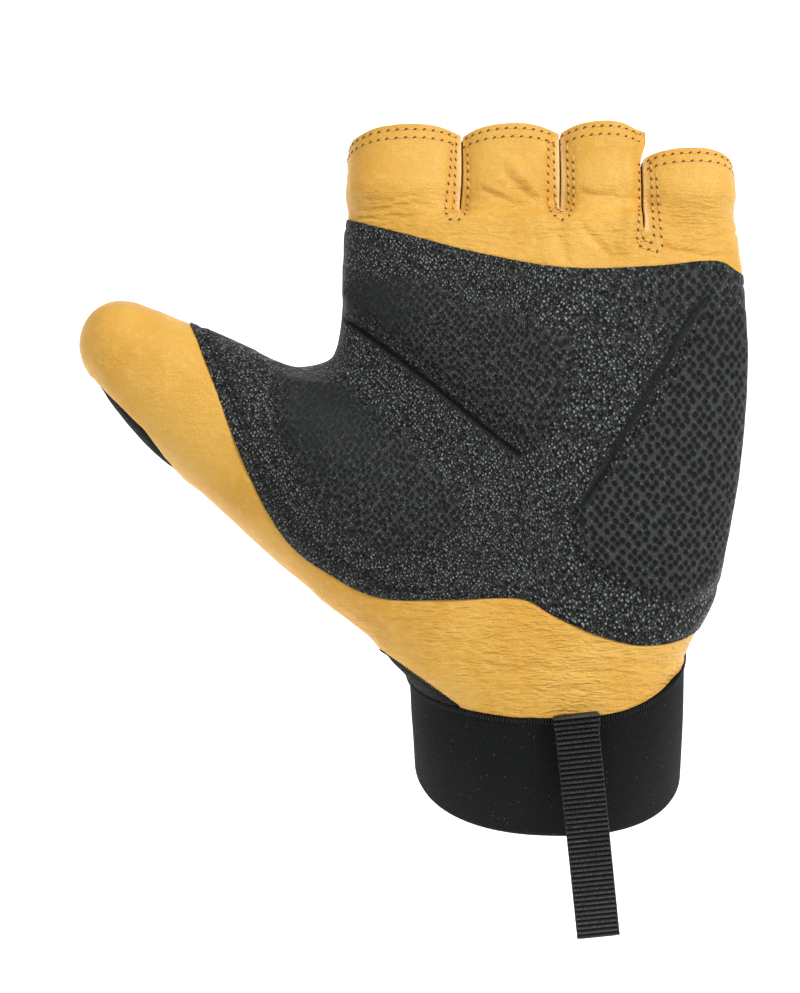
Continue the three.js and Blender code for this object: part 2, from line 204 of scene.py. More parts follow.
def shown_object(name, bm):
    """A new object in the scene that holds a mesh. The mesh is used up."""
    mesh = bpy.data.meshes.new(name)
    bm.to_mesh(mesh)
    bm.free()
    piece = bpy.data.objects.new(name, mesh)
    bpy.context.scene.collection.objects.link(piece)
    return piece


def taken_up(piece):
    """The mesh that a scratch object's modifiers give. The object is thrown away."""
    shown = piece.evaluated_get(bpy.context.evaluated_depsgraph_get())
    bm = bmesh.new()
    bm.from_mesh(shown.to_mesh())
    bpy.data.objects.remove(piece)
    return bm


def ease(amount):
    """From 0 to 1 with a smooth start and end."""
    amount = np.clip(amount, 0, 1)
    return amount * amount * (3 - 2 * amount)


def places(bm):
    """The vertices of a mesh as rows of X, Y and Z in millimetres."""
    return np.array([v.co[:] for v in bm.verts]) / MM


def smoothed(bm, rounds, verts=None):
    for _ in range(rounds):
        bmesh.ops.smooth_vert(bm, verts=verts or bm.verts, factor=0.5,
                              use_axis_x=True, use_axis_y=True, use_axis_z=True)


VOXEL = 0.75
KNUCKLES = (121.0, 136.0)
FORM_ROUNDS, KNUCKLE_ROUNDS, WEB_ROUNDS = 16, 40, 80
form = shown_object("worn_form", form_mesh)
fuse = form.modifiers.new("fuse", "REMESH")
fuse.mode = "VOXEL"
fuse.voxel_size = VOXEL * MM
form_mesh = taken_up(form)
smoothed(form_mesh, FORM_ROUNDS)
at_knuckles = [v for v in form_mesh.verts if KNUCKLES[0] < v.co.z / MM < KNUCKLES[1]]
smoothed(form_mesh, KNUCKLE_ROUNDS, at_knuckles)
at_web = [v for v in form_mesh.verts if (v.co / MM - WEB).length < WEB_REACH]
smoothed(form_mesh, WEB_ROUNDS, at_web)

# Slits
# The fingers are parted by narrow slits with round feet. The leather turns in at each slit and the
# stretch fabric runs between the fingers, so a thin blade is cut through the whole form.
SLITS = [
    dict(foot=(-22.0, 133.2), middle=(-21.6, 143.0), top=(-21.5, 150.0), wide=0.45, slant=-0.1,
         bare=-1, rim=153),
    dict(foot=(1.3, 133.4), middle=(1.4, 143.0), top=(1.4, 150.0), wide=0.34, slant=0,
         bare=0, rim=153),
    dict(foot=(20.7, 128.6), middle=(20.6, 145.0), top=(21.9, 149.5), wide=0.45, slant=0,
         bare=1, rim=145),
]
BLADE_TOP = 168
BLADE_DEPTH = 50
BLADE_CUTS = 34
SLIT_FOOT = 2.5
SLIT_FRONT = 9.0
SLIT_TOP = 147.0
SLIT_ROUND = 0.28
MERGE = 0.08
SEAM_CLEAR = 2
SHARP = math.radians(50)


def slit_middle(slit, z, y):
    """The place x of the middle of a slit at a height and a depth. Deep down, a slit may slant aside."""
    ends = [slit["foot"], slit["middle"], slit["top"]]
    finger_y = ROOT_ROW["y"] + np.maximum(z - ROOT_ROW["z"], 0) * math.tan(FINGER_LEAN)
    aside = slit["slant"] * (y - finger_y + SLIT_FRONT)
    return np.interp(z, [end[1] for end in ends], [end[0] for end in ends]) + aside


def cleaned(bm):
    """Merges vertices that lie too close together and splits faces of many sides."""
    bmesh.ops.remove_doubles(bm, verts=bm.verts, dist=MERGE * MM)
    bmesh.ops.dissolve_degenerate(bm, edges=bm.edges, dist=MERGE / 2 * MM)
    bmesh.ops.triangulate(bm, faces=[f for f in bm.faces if len(f.verts) > 4])


form_tree = BVHTree.FromBMesh(form_mesh)
for slit in SLITS:
    heights = np.linspace(slit["foot"][1], min(slit["rim"], SLIT_TOP), 20)
    fronts = []
    for z in heights:
        start = Vector((slit_middle(slit, z, -32), -80, z)) * MM
        hit = form_tree.ray_cast(start, Vector((0, 1, 0)))[0]
        fronts.append(hit.y / MM)
    slit["fronts"] = (heights, fronts)

    blade = bmesh.new()
    bmesh.ops.create_cube(blade, size=1)
    lengthwise = [e for e in blade.edges if e.verts[0].co.x == e.verts[1].co.x]
    bmesh.ops.subdivide_edges(blade, edges=lengthwise, cuts=BLADE_CUTS, use_grid_fill=True)
    foot = slit["foot"][1]
    for v in blade.verts:
        z = foot + (v.co.z + 0.5) * (BLADE_TOP - foot)
        y = ROOT_ROW["y"] + v.co.y * BLADE_DEPTH
        wide = slit["wide"] * float(ease(0.3 + (z - foot) / SLIT_FOOT))
        v.co = Vector((slit_middle(slit, z, y) + v.co.x * wide, y, z)) * MM
    cutter = shown_object("slit_blade", blade)
    form = shown_object("worn_form", form_mesh)
    cut = form.modifiers.new("slit", "BOOLEAN")
    cut.operation = "DIFFERENCE"
    cut.solver = "EXACT"
    cut.object = cutter
    form_mesh = taken_up(form)
    cleaned(form_mesh)
    bpy.data.objects.remove(cutter)

# Openings
# Each finger ends in an open rim, a little lower at its sides, and the hand in the open seam of the
# cuff. The form is cut off there.
def rim_gap(spots):
    """How far spots lie below the rim of their finger."""
    gaps = np.full(len(spots), 99.0)
    edges = [-99.0] + [slit_middle(slit, spots[:, 2], spots[:, 1]) for slit in SLITS] + [99.0]
    for finger, low, high in zip(FINGERS, edges[:-1], edges[1:]):
        middle, side, back, _, _ = finger_section(finger, finger["rim"] - ROOT_ROW["z"])
        across = (spots[:, 0] - middle.x) / side.x
        below = (np.array(middle) - spots) @ np.array(side.cross(back).normalized())
        below -= RIM_DROP * np.abs(across) ** RIM_CURVE
        beside = (spots[:, 0] > low) & (spots[:, 0] <= high) & (spots[:, 2] > ROOT_ROW["z"])
        gaps = np.where(beside, below, gaps)
    return gaps


ON_LINE = 0.06


def part_along(bm, values):
    """Cuts edges into a mesh where a value of its vertices crosses zero."""
    parting = bm.verts.layers.float.get("parting") or bm.verts.layers.float.new("parting")
    for v, value in zip(bm.verts, values):
        v[parting] = 0.0 if abs(value) < ON_LINE else value
    for edge in [e for e in bm.edges if e.verts[0][parting] * e.verts[1][parting] < 0]:
        start, end = edge.verts
        share = start[parting] / (start[parting] - end[parting])
        bmesh.utils.edge_split(edge, start, share)[1][parting] = 0.0
    bmesh.ops.connect_verts(bm, verts=[v for v in bm.verts if v[parting] == 0])
    return [v for v in bm.verts if v[parting] == 0]


def evened(verts, rounds):
    """Evens out a line of vertices along itself."""
    line = set(verts)
    for _ in range(rounds):
        moved = {}
        for v in line:
            beside = [edge.other_vert(v) for edge in v.link_edges if edge.other_vert(v) in line]
            if len(beside) == 2:
                moved[v] = (2 * v.co + beside[0].co + beside[1].co) / 4
        for v, place in moved.items():
            v.co = place


def one_side(bm, sign):
    """A copy of the part of a mesh on one side of its parting."""
    half = bm.copy()
    parting = half.verts.layers.float["parting"]
    others = [f for f in half.faces if sign * sum(v[parting] for v in f.verts) <= 0]
    bmesh.ops.delete(half, geom=others, context="FACES")
    return half


evened(part_along(form_mesh, rim_gap(places(form_mesh))), 3)
form_mesh = one_side(form_mesh, 1)
wrist_middle, wrist_side, wrist_back, _, _ = hand_section(WRIST_LEVEL)
WRIST_WAY = wrist_side.cross(wrist_back).normalized()
WRIST_RISE = 5.0
WRIST_LIFT = 0.5


def wrist_rise(x):
    """How far the wrist seam climbs towards the two sides."""
    return WRIST_RISE * np.clip((x - 8) / 24, 0, 1) ** 2.2 + WRIST_LIFT * ease((-x - 10) / 15)


spots = places(form_mesh)
part_along(form_mesh, (spots - np.array(wrist_middle)) @ np.array(WRIST_WAY) - wrist_rise(spots[:, 0]))
form_mesh = one_side(form_mesh, 1)

# Side seams
# The leather palm side and the stretch fabric back meet in seams along the sides of the hand, fingers
# and thumb. At the thumb's lower edge and at the wrist the fabric comes round to the front.
SIDE_SEAM = 3.0
THUMB_SEAM_END = 74.0
THUMB_TOP = 30.0
PALM_PLANE = -38.5
FABRIC_IN_FRONT = [
    [(-107.6, 93.1), (-104.8, 89.7), (-100.4, 85.7), (-96.1, 81.2), (-91.6, 75.2), (-87.1, 70.3),
     (-84.4, 61.8), (-112, 66), (-122, 96)],
    [(-46.2, 33.7), (-37.0, 27.3), (-28.2, 21.0), (-23.0, 17.3), (-21.6, 8.0), (-60, 8), (-60, 34)],
]
LIP = 3.0
SLIT_MARGIN = 0.15
SLIT_BELOW = 0.3


def seen(spots):
    """Where spots are seen by the eye, as X and Z on the palm's plane."""
    share = (PALM_PLANE - EYE[1]) / (spots[:, 1] - EYE[1])
    return EYE[[0, 2]] + (spots[:, [0, 2]] - EYE[[0, 2]]) * share[:, None]


def from_line(points, line):
    """How far points lie from a line through corners."""
    nearest = np.full(len(points), 1e9)
    for start, end in zip(np.array(line[:-1]), np.array(line[1:])):
        way = end - start
        share = np.clip((points - start) @ way / (way @ way), 0, 1)
        gap = points - start - share[:, None] * way
        nearest = np.minimum(nearest, np.hypot(gap[:, 0], gap[:, 1]))
    return nearest


def inside(points, outline):
    """How far points lie inside an outline, or below 0 outside it."""
    within = np.zeros(len(points), bool)
    closed = list(outline) + [outline[0]]
    for (x0, z0), (x1, z1) in zip(closed[:-1], closed[1:]):
        if z0 != z1:
            crossing = x0 + (points[:, 1] - z0) * (x1 - x0) / (z1 - z0)
            within ^= ((z0 > points[:, 1]) != (z1 > points[:, 1])) & (points[:, 0] < crossing)
    return np.where(within, 1, -1) * from_line(points, closed)


def seam_place(spots):
    """The place y of the side seams at each spot's height, along the middle of hand and thumb."""
    z = spots[:, 2]
    hand_y = np.interp(z, [row["z"] for row in HAND], [row["y"] for row in HAND])
    hand_y += np.maximum(z - ROOT_ROW["z"], 0) * math.tan(FINGER_LEAN)
    from_tip = spots - np.array(THUMB_TIP)
    along = -(from_tip @ np.array(TO_TIP))
    above = from_tip @ np.array(THUMB_UP)
    rows = THUMB[::-1]
    thumb_y = np.interp(along, [row["along"] for row in rows], [row["y"] for row in rows])
    on_thumb = ease((THUMB_SEAM_END - along) / 14) * ease((THUMB_TOP - above) / 8)
    return hand_y + (thumb_y - hand_y) * on_thumb + SIDE_SEAM


def behind_seam(spots):
    """How far spots lie behind the seams, on the fabric's side, or below 0 on the leather's side."""
    behind = spots[:, 1] - seam_place(spots)
    for outline in FABRIC_IN_FRONT:
        behind = np.maximum(behind, inside(seen(spots), outline))
    for slit in SLITS:
        z, foot = spots[:, 2], slit["foot"][1]
        gap = np.abs(spots[:, 0] - slit_middle(slit, z, spots[:, 1]))
        in_slit = (gap < slit["wide"] / 2 + SLIT_MARGIN) & (z > foot - SLIT_BELOW) & (z < slit["rim"])
        lip = spots[:, 1] - np.interp(z, *slit["fronts"]) - LIP
        behind = np.where(in_slit, lip, behind)
    return behind


evened(part_along(form_mesh, behind_seam(places(form_mesh))), 2)
cleaned(form_mesh)
front_mesh = one_side(form_mesh, -1)
back_mesh = one_side(form_mesh, 1)

# Palm leather
# Tan grain leather covers the palm, the front of the fingers and of the thumb in one skin, 1.5 mm
# thick, and 2.3 mm where it is folded at the finger rims. It has the creases of a worn glove, and
# lies 0.45 mm lower where the overlay covers it.
LEATHER = 1.5
HEM = 6.0
HEM_FOLD = 0.8
HEM_STEP = 0.8
HEM_SWELL = dict(below=4.2, wide=2.4, high=0.25)
HEM_ROWS = (1.5, 3.6)
EDGE_ROUND = 0.8
FINE_ABOVE = 117.0
ROW_SINK = 0.1
ROW_WIDE = 0.7
SLIT_TURN = 3.0
WALL_FROM = 0.8
WALL_GAP = 0.1
FOOT_LIFT = 0.15
SKIN_REACH = 1.5
ALIKE_FROM, ALIKE_SPAN = 0.6, 0.35
INNER_TURN = math.radians(5.5)
LINING_ROUNDS = 4
SWELLS = [dict(high=0.3, wide=9), dict(high=0.12, wide=3.1)]
CALM_BY_SLIT = 1.2
RAW_WIDE = 0.75
ROW_SHADE_WIDE = 0.9
EVEN_WRINKLES = 0.12
FINGER_WRINKLES = dict(share=0.6, z=129, wide=7)
HEEL_WRINKLES = dict(share=0.75, z=50, wide=16)
PLAIN_THUMB = dict(x=-75, wide=30)
SLIT_ROWS = [
    [(-24.4, 147.4), (-24.9, 140.7), (-25.6, 135.6), (-25.9, 131.7), (-25.2, 130.1), (-23.7, 129.5),
     (-22.3, 130.1), (-21.0, 131.7), (-20.7, 134.5), (-20.7, 140.3), (-20.8, 147.4)],
    [(-23.4, 147.4), (-23.7, 140.0), (-23.9, 133.8), (-24.3, 131.9), (-23.6, 130.8), (-22.6, 131.7)],
    [(-2.1, 147.9), (-2.2, 133.6), (-1.5, 131.7), (-0.3, 130.5), (1.3, 129.8), (2.7, 130.8),
     (3.8, 133.3), (3.6, 146.0)],
    [(-0.9, 147.0), (-0.6, 134.9), (-0.2, 132.6), (1.3, 131.2), (2.3, 132.4), (2.6, 133.3), (2.2, 147.9)],
    [(18.9, 142.6), (18.9, 131.0), (18.4, 125.2), (19.3, 123.6), (21.2, 123.0), (23.0, 122.5),
     (24.2, 123.8), (23.9, 127.5), (23.3, 134.3), (22.8, 141.4)],
    [(21.6, 143.0), (22.0, 133.0), (22.4, 126.8), (22.0, 124.6), (20.6, 124.4), (19.8, 125.8),
     (19.4, 129.0)],
]
CREASES = [
    dict(path=[(-11.0, 143.0), (-7.5, 139.5), (-3.5, 134.5)], deep=-0.45, wide=1.3),
    dict(path=[(-12.0, 140.5), (-8.5, 137.0), (-5.0, 133.8)], deep=0.4, wide=1.0),
    dict(path=[(-16.5, 138.0), (-10.5, 135.2), (-4.5, 133.8)], deep=-0.35, wide=0.9),
    dict(path=[(-17.0, 136.6), (-10.5, 133.8), (-5.0, 132.0)], deep=0.35, wide=0.7),
    dict(path=[(-47.5, 132.0), (-40.0, 132.2), (-33.0, 133.6), (-28.5, 133.0)], deep=0.35, wide=0.6),
    dict(path=[(-46.0, 130.0), (-38.0, 130.6), (-30.0, 130.4)], deep=0.3, wide=0.6),
    dict(path=[(-45.0, 134.6), (-39.0, 134.2), (-33.5, 135.4)], deep=0.2, wide=0.5),
    dict(path=[(5.8, 136.2), (9.5, 135.4), (13.0, 135.6)], deep=0.45, wide=0.8),
    dict(path=[(16.6, 146.5), (16.8, 138.0), (17.0, 130.0), (15.6, 123.5)], deep=-0.7, wide=1.6),
    dict(path=[(6.6, 127.5), (9.5, 124.0), (12.0, 121.8)], deep=0.5, wide=1.0),
    dict(path=[(24.6, 123.8), (29.0, 122.4), (34.0, 121.4), (40.0, 121.8)], deep=0.45, wide=0.7),
    dict(path=[(37.0, 126.2), (40.6, 126.6), (43.6, 127.4)], deep=0.4, wide=0.6),
    dict(path=[(0.6, 128.0), (0.8, 124.0), (2.0, 121.0)], deep=0.5, wide=1.6),
    dict(path=[(-21.6, 27.6), (-12.0, 25.4), (-3.0, 25.9), (8.0, 25.0)], deep=0.3, wide=0.8),
    dict(path=[(-16.0, 21.6), (-6.0, 20.4), (4.0, 21.3), (12.0, 20.8)], deep=0.3, wide=0.7),
    dict(path=[(18.0, 27.4), (24.0, 27.0), (30.0, 29.2)], deep=0.35, wide=0.8),
    dict(path=[(14.0, 22.2), (22.0, 21.4), (29.0, 24.4)], deep=0.3, wide=0.8),
    dict(path=[(-30.0, 33.0), (-22.0, 31.0), (-14.0, 32.5)], deep=0.25, wide=0.9),
]
PATCH_OUTLINE = [
    (-60, 131.2), (-48.9, 130.0), (-17.6, 122.1), (2.6, 118.8), (22.1, 119.2), (36.7, 120.3),
    (43.6, 116.7), (60, 110.5), (60, 60), (41, 46), (31.6, 34.5), (20.9, 31.5), (10.2, 33.5),
    (-0.7, 38.2), (-8.8, 42.3), (-24.8, 42.0), (-41.0, 42.5), (-52.4, 47.8), (-63.0, 56.2),
    (-72.2, 72.8), (-80, 93.6), (-84.9, 106), (-90, 118),
]
CURVE_STEPS = 6
PATCH_SUNK = 0.45
SINK_MARGIN, SINK_SPAN = 0.3, 0.8


def curved(corners):
    """A closed smooth curve through corners."""
    corners = np.array(corners, float)
    curve = []
    for i in range(len(corners)):
        around = [corners[(i + step) % len(corners)] for step in (-1, 0, 1, 2)]
        curve += [tuple(on_curve(around, t)) for t in np.arange(CURVE_STEPS) / CURVE_STEPS]
    return curve


def slit_gap(spots, bare=False, deep=0.0):
    """How far spots lie beside the nearest slit's edge, or beside its bare edges alone."""
    gaps = [np.full(len(spots), 99.0)]
    for slit in SLITS:
        beside = spots[:, 0] - slit_middle(slit, spots[:, 2], spots[:, 1])
        behind = deep * np.maximum(spots[:, 1] - np.interp(spots[:, 2], *slit["fronts"]), 0)
        below = np.maximum(slit["foot"][1] - spots[:, 2], 0)
        gap = np.hypot(np.hypot(np.maximum(np.abs(beside) - slit["wide"] / 2, 0), below), behind)
        gaps.append(np.where(bare & (beside * slit["bare"] < 0), 99.0, gap))
    return np.min(gaps, axis=0)


def round_over(gap, radius=EDGE_ROUND):
    """How far a turned edge sinks where it is this far from the end."""
    left = np.clip(1 - gap / radius, 0, 1)
    return radius * (1 - np.sqrt(1 - 0.85 * left**2))


def hump(gap, wide):
    """A smooth hump that is 1 high where a gap is 0."""
    return np.exp(-(gap / wide) ** 2)


def marked(bm, name, values):
    """Keeps a value for every vertex of a mesh, for its material to read."""
    layer = bm.verts.layers.float.new(name)
    for v, value in zip(bm.verts, values):
        v[layer] = float(value)


def outward(v):
    """The way out of a mesh at a vertex. Thin faces count for little."""
    way = Vector()
    for f in v.link_faces:
        way += f.normal * f.calc_area()
    return way.normalized()


def ways_out(verts):
    """The ways out at vertices: the mesh's own where they are like the whole form's, and the form's
    elsewhere. Near a slit they turn evenly into the slit's walls."""
    verts = list(verts)
    ways = []
    for v in verts:
        way, skin = outward(v), form_tree.find_nearest(v.co)[1]
        alike = float(ease((way.dot(skin) - ALIKE_FROM) / ALIKE_SPAN))
        ways.append(skin.lerp(way, alike).normalized())
    spots = np.array([v.co[:] for v in verts]) / MM
    for slit in SLITS:
        foot = slit["foot"][1]
        beside = spots[:, 0] - slit_middle(slit, spots[:, 2], spots[:, 1])
        gap = np.hypot(np.maximum(np.abs(beside) - slit["wide"] / 2, 0), np.maximum(foot - spots[:, 2], 0))
        for i in np.flatnonzero(gap < SLIT_TURN):
            faces = form_tree.find_nearest_range(verts[i].co, SKIN_REACH * MM)
            skin = sum((face[1] for face in faces), Vector()).normalized()
            deep = 0.5 + 0.5 * float(ease(min([face[3] for face in faces], default=1) / MM / WALL_FROM))
            if gap[i] > WALL_GAP:
                deep = 0.5
            wall = Vector((-beside[i], 0, max(foot + FOOT_LIFT - spots[i, 2], 0))).normalized()
            ways[i] = skin.lerp(wall, deep * (1 - gap[i] / SLIT_TURN)).normalized()
    return ways


def pushed(verts, amounts):
    """Moves vertices outwards."""
    for v, way, amount in zip(verts, ways_out(verts), amounts):
        v.co += way * float(amount) * MM


def thickened(bm, thicknesses):
    """Closes a skin into a wall with a thickness at every vertex. The wall's inner side is smoothed, and
    has fewer faces where it is even."""
    bm.normal_update()
    inward = bm.verts.layers.float_vector.new("inward")
    for v, way, thickness in zip(bm.verts, ways_out(bm.verts), thicknesses):
        v[inward] = way * -float(thickness) * MM
    made = bmesh.ops.extrude_face_region(bm, geom=bm.faces[:])["geom"]
    within = [g for g in made if isinstance(g, bmesh.types.BMVert)]
    for v in within:
        v.co += v[inward]
    lining = {g for g in made if isinstance(g, bmesh.types.BMFace)}
    smoothed(bm, LINING_ROUNDS, [v for v in within if all(f in lining for f in v.link_faces)])
    edges = [e for e in bm.edges if all(f in lining for f in e.link_faces)]
    bmesh.ops.dissolve_limit(bm, angle_limit=INNER_TURN, verts=within, edges=edges)
    bmesh.ops.triangulate(bm, faces=[f for f in bm.faces if len(f.verts) > 4])
    bmesh.ops.dissolve_degenerate(bm, edges=bm.edges, dist=MERGE / 8 * MM)
    bm.verts.layers.float_vector.remove(inward)
    bmesh.ops.recalc_face_normals(bm, faces=bm.faces)
    bm.normal_update()


patch_edge = curved(PATCH_OUTLINE)
leather_mesh = front_mesh.copy()
fine_edges = [e for e in leather_mesh.edges if min(v.co.z for v in e.verts) > FINE_ABOVE * MM]
bmesh.ops.subdivide_edges(leather_mesh, edges=fine_edges, cuts=1, use_grid_fill=True)
leather_mesh.normal_update()
spots = places(leather_mesh)
points = seen(spots)
rim_gaps = rim_gap(spots)
rise = np.array([
    sum(swell["high"] * noise.noise(Vector(spot) / swell["wide"]) for swell in SWELLS) for spot in spots])
for crease in CREASES:
    rise -= crease["deep"] * hump(from_line(points, crease["path"]), crease["wide"])
for row in SLIT_ROWS:
    rise -= ROW_SINK * hump(from_line(points, row), ROW_WIDE)
for below in HEM_ROWS:
    rise -= ROW_SINK * hump(rim_gaps - below, ROW_WIDE)
rise += HEM_SWELL["high"] * hump(rim_gaps - HEM_SWELL["below"], HEM_SWELL["wide"])
under_patch = ease((inside(points, patch_edge) + SINK_MARGIN) / SINK_SPAN)
rise = rise * (1 - under_patch) - PATCH_SUNK * under_patch
rise *= ease(slit_gap(spots) / CALM_BY_SLIT)
slit_gaps = slit_gap(spots, deep=0.6)
rise -= round_over(rim_gaps) + round_over(slit_gaps, SLIT_ROUND)
rise -= round_over(np.maximum(-behind_seam(spots), 0)) * (slit_gaps > SEAM_CLEAR)
pushed(leather_mesh.verts, rise)
leather_tree = BVHTree.FromBMesh(leather_mesh)
thickened(leather_mesh, LEATHER + HEM_FOLD * ease((HEM - rim_gaps) / HEM_STEP))
spots = places(leather_mesh)
points = seen(spots)
marked(leather_mesh, "raw_edge", hump(slit_gap(spots, bare=True, deep=0.5), RAW_WIDE))
at_fingers = hump(points[:, 1] - FINGER_WRINKLES["z"], FINGER_WRINKLES["wide"])
at_heel = ease((HEEL_WRINKLES["z"] - points[:, 1]) / HEEL_WRINKLES["wide"])
wrinkles = np.maximum(FINGER_WRINKLES["share"] * at_fingers, HEEL_WRINKLES["share"] * at_heel)
wrinkles *= ease((points[:, 0] - PLAIN_THUMB["x"]) / PLAIN_THUMB["wide"])
marked(leather_mesh, "wrinkled", EVEN_WRINKLES + wrinkles)
# Along the sunk stitch rows the leather is painted darker: painted shade in the row grooves.
row_shades = [hump(from_line(points, row), ROW_SHADE_WIDE) for row in SLIT_ROWS]
row_shades += [hump(rim_gap(spots) - below, ROW_SHADE_WIDE) for below in HEM_ROWS]
marked(leather_mesh, "row_shade", np.max(row_shades, axis=0))

palm_leather = shown_object("palm_leather_skin", leather_mesh)
palm_leather.data.shade_smooth()
palm_leather.data.set_sharp_from_angle(angle=SHARP)


def node(tree, kind, inputs=None, **settings):
    """A shader node with its settings, and its inputs as values or as the outputs that feed them."""
    made = tree.nodes.new(kind)
    for name, value in settings.items():
        setattr(made, name, value)
    for name, value in (inputs or {}).items():
        if isinstance(value, bpy.types.NodeSocket):
            tree.links.new(value, made.inputs[name])
        else:
            made.inputs[name].default_value = value
    return made


def maths(tree, operation, first, second=0.0, third=0.0):
    return node(tree, "ShaderNodeMath", {0: first, 1: second, 2: third}, operation=operation).outputs[0]


def step(tree, value, low, high, smooth=True):
    """A value from 0 to 1 as another goes from low to high."""
    kind = "SMOOTHSTEP" if smooth else "LINEAR"
    made = node(tree, "ShaderNodeMapRange", {0: value, 1: low, 2: high}, interpolation_type=kind)
    return made.outputs[0]


def mixed(tree, share, first, second):
    """A mix of two colours."""
    return node(tree, "ShaderNodeMix", {0: share, 6: first, 7: second}, data_type="RGBA").outputs[2]


def tinted(tree, tone, share, amount, colour):
    """A colour that turns to another by an amount where a share is high."""
    return mixed(tree, maths(tree, "MULTIPLY", share, amount), tone, colour)


def scaled(tree, place, x, y, z):
    """Coordinates multiplied by a number along each axis."""
    return node(tree, "ShaderNodeMapping", {"Vector": place, "Scale": (x, y, z)}).outputs[0]


def noisy(tree, place, scale, detail=2.0, distortion=0.0):
    inputs = {"Vector": place, "Scale": scale, "Detail": detail, "Distortion": distortion}
    return node(tree, "ShaderNodeTexNoise", inputs).outputs[0]


def kept(tree, name):
    """A value that the mesh keeps at its vertices."""
    return node(tree, "ShaderNodeAttribute", attribute_name=name).outputs["Fac"]


def finish(name, roughness, specular):
    """A new material and its Principled shader."""
    material = bpy.data.materials.new(name)
    material.use_nodes = True
    shader = material.node_tree.nodes["Principled BSDF"]
    shader.inputs["Roughness"].default_value = roughness
    shader.inputs["Specular IOR Level"].default_value = specular
    return material, material.node_tree, shader


def bumped(tree, shader, height, distance):
    bump = node(tree, "ShaderNodeBump", {"Height": height, "Distance": distance})
    tree.links.new(bump.outputs[0], shader.inputs["Normal"])


def effect(name, inputs, outputs):
    """A new shader node group with named inputs and outputs, for more than one material."""
    group = bpy.data.node_groups.new(name, "ShaderNodeTree")
    for label, kind in inputs.items():
        group.interface.new_socket(label, in_out="INPUT", socket_type="NodeSocket" + kind)
    for label in outputs:
        group.interface.new_socket(label, in_out="OUTPUT", socket_type="NodeSocketFloat")
    return group, group.nodes.new("NodeGroupInput").outputs, group.nodes.new("NodeGroupOutput").inputs


def placed(tree, group, **inputs):
    """A node group placed in a material with its own values."""
    return node(tree, "ShaderNodeGroup", inputs, node_tree=group).outputs


leather_grain, given, result = effect(
    "leather_grain", {"Place": "Vector", "Cells": "Float"}, ["Height", "Pores"])
cell_gap = node(leather_grain, "ShaderNodeTexVoronoi", {"Vector": given["Place"], "Scale": given["Cells"]},
                feature="DISTANCE_TO_EDGE").outputs[0]
cells = step(leather_grain, cell_gap, 0.0, 0.22)
rough = noisy(leather_grain, given["Place"], maths(leather_grain, "MULTIPLY", given["Cells"], 0.8), 3)
leather_grain.links.new(maths(leather_grain, "MULTIPLY_ADD", rough, 0.9, cells), result["Height"])
leather_grain.links.new(maths(leather_grain, "SUBTRACT", 1.0, cells), result["Pores"])

leather_finish, tree, shader = finish("tan_grain_leather", 0.46, 0.3)
where = node(tree, "ShaderNodeTexCoord").outputs["Object"]
wrinkled = kept(tree, "wrinkled")
grain = placed(tree, leather_grain, Place=where, Cells=1500)
wavy = noisy(tree, scaled(tree, where, 270, 270, 1050), 1, 1.4, 0.6)
ridges = maths(tree, "MULTIPLY", step(tree, wavy, 0.25, 0.75, smooth=False), wrinkled)
shaded_furrows = maths(tree, "MULTIPLY", maths(tree, "SUBTRACT", 1.0, step(tree, wavy, 0.3, 0.52)), wrinkled)
highlit_crests = maths(tree, "MULTIPLY", step(tree, wavy, 0.52, 0.74), wrinkled)
wavy_fine = noisy(tree, scaled(tree, where, 420, 420, 1000), 1, 3, 0.6)
lumps = noisy(tree, where, 620, 2)
clouds = step(tree, noisy(tree, where, 60, 3), 0.3, 0.7)
tone = mixed(tree, clouds, (0.79, 0.41, 0.056, 1), (0.88, 0.50, 0.095, 1))
# The raised lumps are painted lighter: painted highlight on their tops.
tone = tinted(tree, tone, step(tree, lumps, 0.5, 0.75), 0.35, (0.93, 0.60, 0.17, 1))
# The wrinkle crests are painted lighter: painted highlight.
tone = tinted(tree, tone, highlit_crests, 0.3, (0.95, 0.62, 0.18, 1))
# The furrows of the wrinkles are painted darker: painted shade.
tone = tinted(tree, tone, shaded_furrows, 0.16, (0.56, 0.25, 0.032, 1))
tone = tinted(tree, tone, grain["Pores"], 0.12, (0.50, 0.22, 0.03, 1))
# Painted shade along the sunk stitch rows.
tone = tinted(tree, tone, kept(tree, "row_shade"), 0.12, (0.50, 0.24, 0.04, 1))
tone = mixed(tree, kept(tree, "raw_edge"), tone, (0.93, 0.66, 0.32, 1))
tree.links.new(tone, shader.inputs["Base Color"])
tree.links.new(maths(tree, "MULTIPLY_ADD", wavy_fine, 0.2, 0.34), shader.inputs["Roughness"])
fine_share = maths(tree, "MULTIPLY_ADD", wrinkled, 0.8, 0.35)
height = maths(tree, "MULTIPLY_ADD", grain["Height"], 0.15, maths(tree, "MULTIPLY", wavy_fine, fine_share))
height = maths(tree, "MULTIPLY_ADD", lumps, 0.7, height)
height = maths(tree, "MULTIPLY_ADD", ridges, 1.6, height)
bumped(tree, shader, height, 0.00028)
palm_leather.data.materials.append(leather_finish)
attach(palm_leather, "root")
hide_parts("palm_leather", "thumb_front", "index_front", "middle_front", "ring_front",
            "little_front")

# Leather stitches
# Brown-gold thread holds the folded hems at the finger rims and the turned edges of the slits, in
# double rows of lockstitches 2 mm long. Every stitch dips into a needle hole at both ends, where a
# small dark bead is painted shade of the hole.
THREAD = dict(pitch=2.0, half=0.8, thick=0.3, flat=0.4, raised=0.06, slant=0.12, hole=0.46)
ROW_STEP = 0.1
HEM_REACH = 1.25
HOLE_SLANT, HOLE_WIDE, HOLE_HIGH = 0.45, 0.55, 0.16


